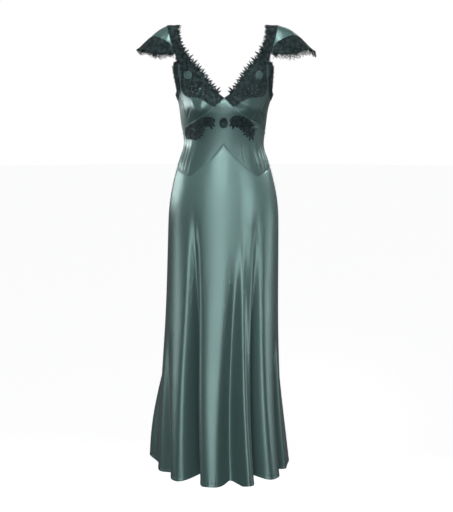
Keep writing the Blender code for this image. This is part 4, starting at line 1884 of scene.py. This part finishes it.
@dataclass
class Studio:
    """The floor, the soft lights, the white surround and the camera."""

    eye: tuple[float, float, float] = (0.0118, -4.0, -0.2)
    target: tuple[float, float, float] = (0.0118, 0.0, -0.703)
    lens: float = 60.96
    sensor: float = 24.0
    floor_level: float = -2.6

    def build(self) -> None:
        """Makes everything that isn't the dress."""
        self.make_floor()
        self.make_world(0.020, 0.085)
        for box in SOFT_BOXES:
            self.make_light(box)
        self.make_camera()
        bpy.context.scene.view_settings.view_transform = "Standard"

    def make_floor(self) -> None:
        """A wide pale disc, well below the hem."""
        turn = np.linspace(0, 2 * math.pi, 97)[:-1]
        radius = np.array([0.02, 40.0])
        x, y = np.cos(turn)[None] * radius[:, None], np.sin(turn)[None] * radius[:, None]
        points = np.stack([x, y, np.full_like(x, self.floor_level)], axis=-1).reshape(-1, 3)
        first = np.arange(96)
        after = (first + 1) % 96
        shape = Shape()
        shape.add(points, np.stack([first, first + 96, after + 96, after], axis=1))
        floor = shape.object("studio_floor")
        floor.data.materials.append(FloorFinish().material())
        floor.visible_diffuse = floor.visible_glossy = False

    def make_world(self, below: float, above: float) -> None:
        """White where the camera looks, and a dim light on the dress that grows upwards.

        Args:
            below: the light from straight below.
            above: the light from straight above.
        """
        world = bpy.data.worlds.new("studio")
        bpy.context.scene.world = world
        world.use_nodes = True
        tree = world.node_tree
        tree.nodes.clear()
        output = tree.nodes.new("ShaderNodeOutputWorld")
        seen, lit = (tree.nodes.new("ShaderNodeBackground") for _ in range(2))
        seen.inputs["Color"].default_value = (1, 1, 1, 1)
        lit.inputs["Color"].default_value = (0.95, 0.99, 1, 1)
        place = tree.nodes.new("ShaderNodeTexCoord")
        parts = tree.nodes.new("ShaderNodeSeparateXYZ")
        height = tree.nodes.new("ShaderNodeMapRange")
        for name, value in (("From Min", -1), ("To Min", below), ("To Max", above)):
            height.inputs[name].default_value = value
        path = tree.nodes.new("ShaderNodeLightPath")
        mix = tree.nodes.new("ShaderNodeMixShader")
        for start, end in (
            (place.outputs["Generated"], parts.inputs[0]),
            (parts.outputs["Z"], height.inputs["Value"]),
            (height.outputs["Result"], lit.inputs["Strength"]),
            (path.outputs["Is Camera Ray"], mix.inputs["Fac"]),
            (lit.outputs[0], mix.inputs[1]),
            (seen.outputs[0], mix.inputs[2]),
            (mix.outputs[0], output.inputs["Surface"]),
        ):
            tree.links.new(start, end)

    @staticmethod
    def aim(obj: bpy.types.Object, place: Sequence[float], target: Sequence[float]) -> None:
        """Puts an object at a place, looking at a target."""
        ahead = unit(np.array(target, float) - np.array(place, float))
        right = unit(np.cross(ahead, (0, 0, 1)))
        up = np.cross(right, ahead)
        turn = np.eye(4)
        turn[:3, 0], turn[:3, 1], turn[:3, 2], turn[:3, 3] = right, up, -ahead, place
        obj.matrix_world = Matrix(turn.tolist())

    def make_light(self, box: SoftBox) -> None:
        """Makes one soft box."""
        light = bpy.data.lights.new(box.name, "AREA")
        light.shape = "RECTANGLE"
        light.size, light.size_y = box.size
        light.energy = box.power
        light.spread = math.radians(box.opening)
        made = bpy.data.objects.new(box.name, light)
        bpy.context.scene.collection.objects.link(made)
        self.aim(made, box.place, box.target)

    def make_camera(self) -> None:
        """Makes the camera, level with the bust and looking a little down."""
        lens = bpy.data.cameras.new("camera")
        lens.lens, lens.sensor_fit, lens.sensor_height = self.lens, "VERTICAL", self.sensor
        lens.sensor_width = self.sensor
        made = bpy.data.objects.new("camera", lens)
        bpy.context.scene.collection.objects.link(made)
        self.aim(made, self.eye, self.target)
        bpy.context.scene.camera = made


def main() -> None:
    """Builds the dress and the studio."""
    logging.basicConfig(level=logging.INFO, format="%(message)s")
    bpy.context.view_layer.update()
    wardrobe = Wardrobe()
    Skirt().build(wardrobe)
    Midriff().build(wardrobe)
    BackBodice().build(wardrobe)
    for side in Side:
        Cup(side).build(wardrobe)
        NeckLace(side).build(wardrobe)
        BackStrap(side).build(wardrobe)
        ArmholeLace(side).build(wardrobe)
        CapSleeve(side).build(wardrobe)
        MidriffLace(side).build(wardrobe)
    CentreMotif().build(wardrobe)
    Piping().build(wardrobe)
    Studio().build()


if __name__ == "__main__":
    main()
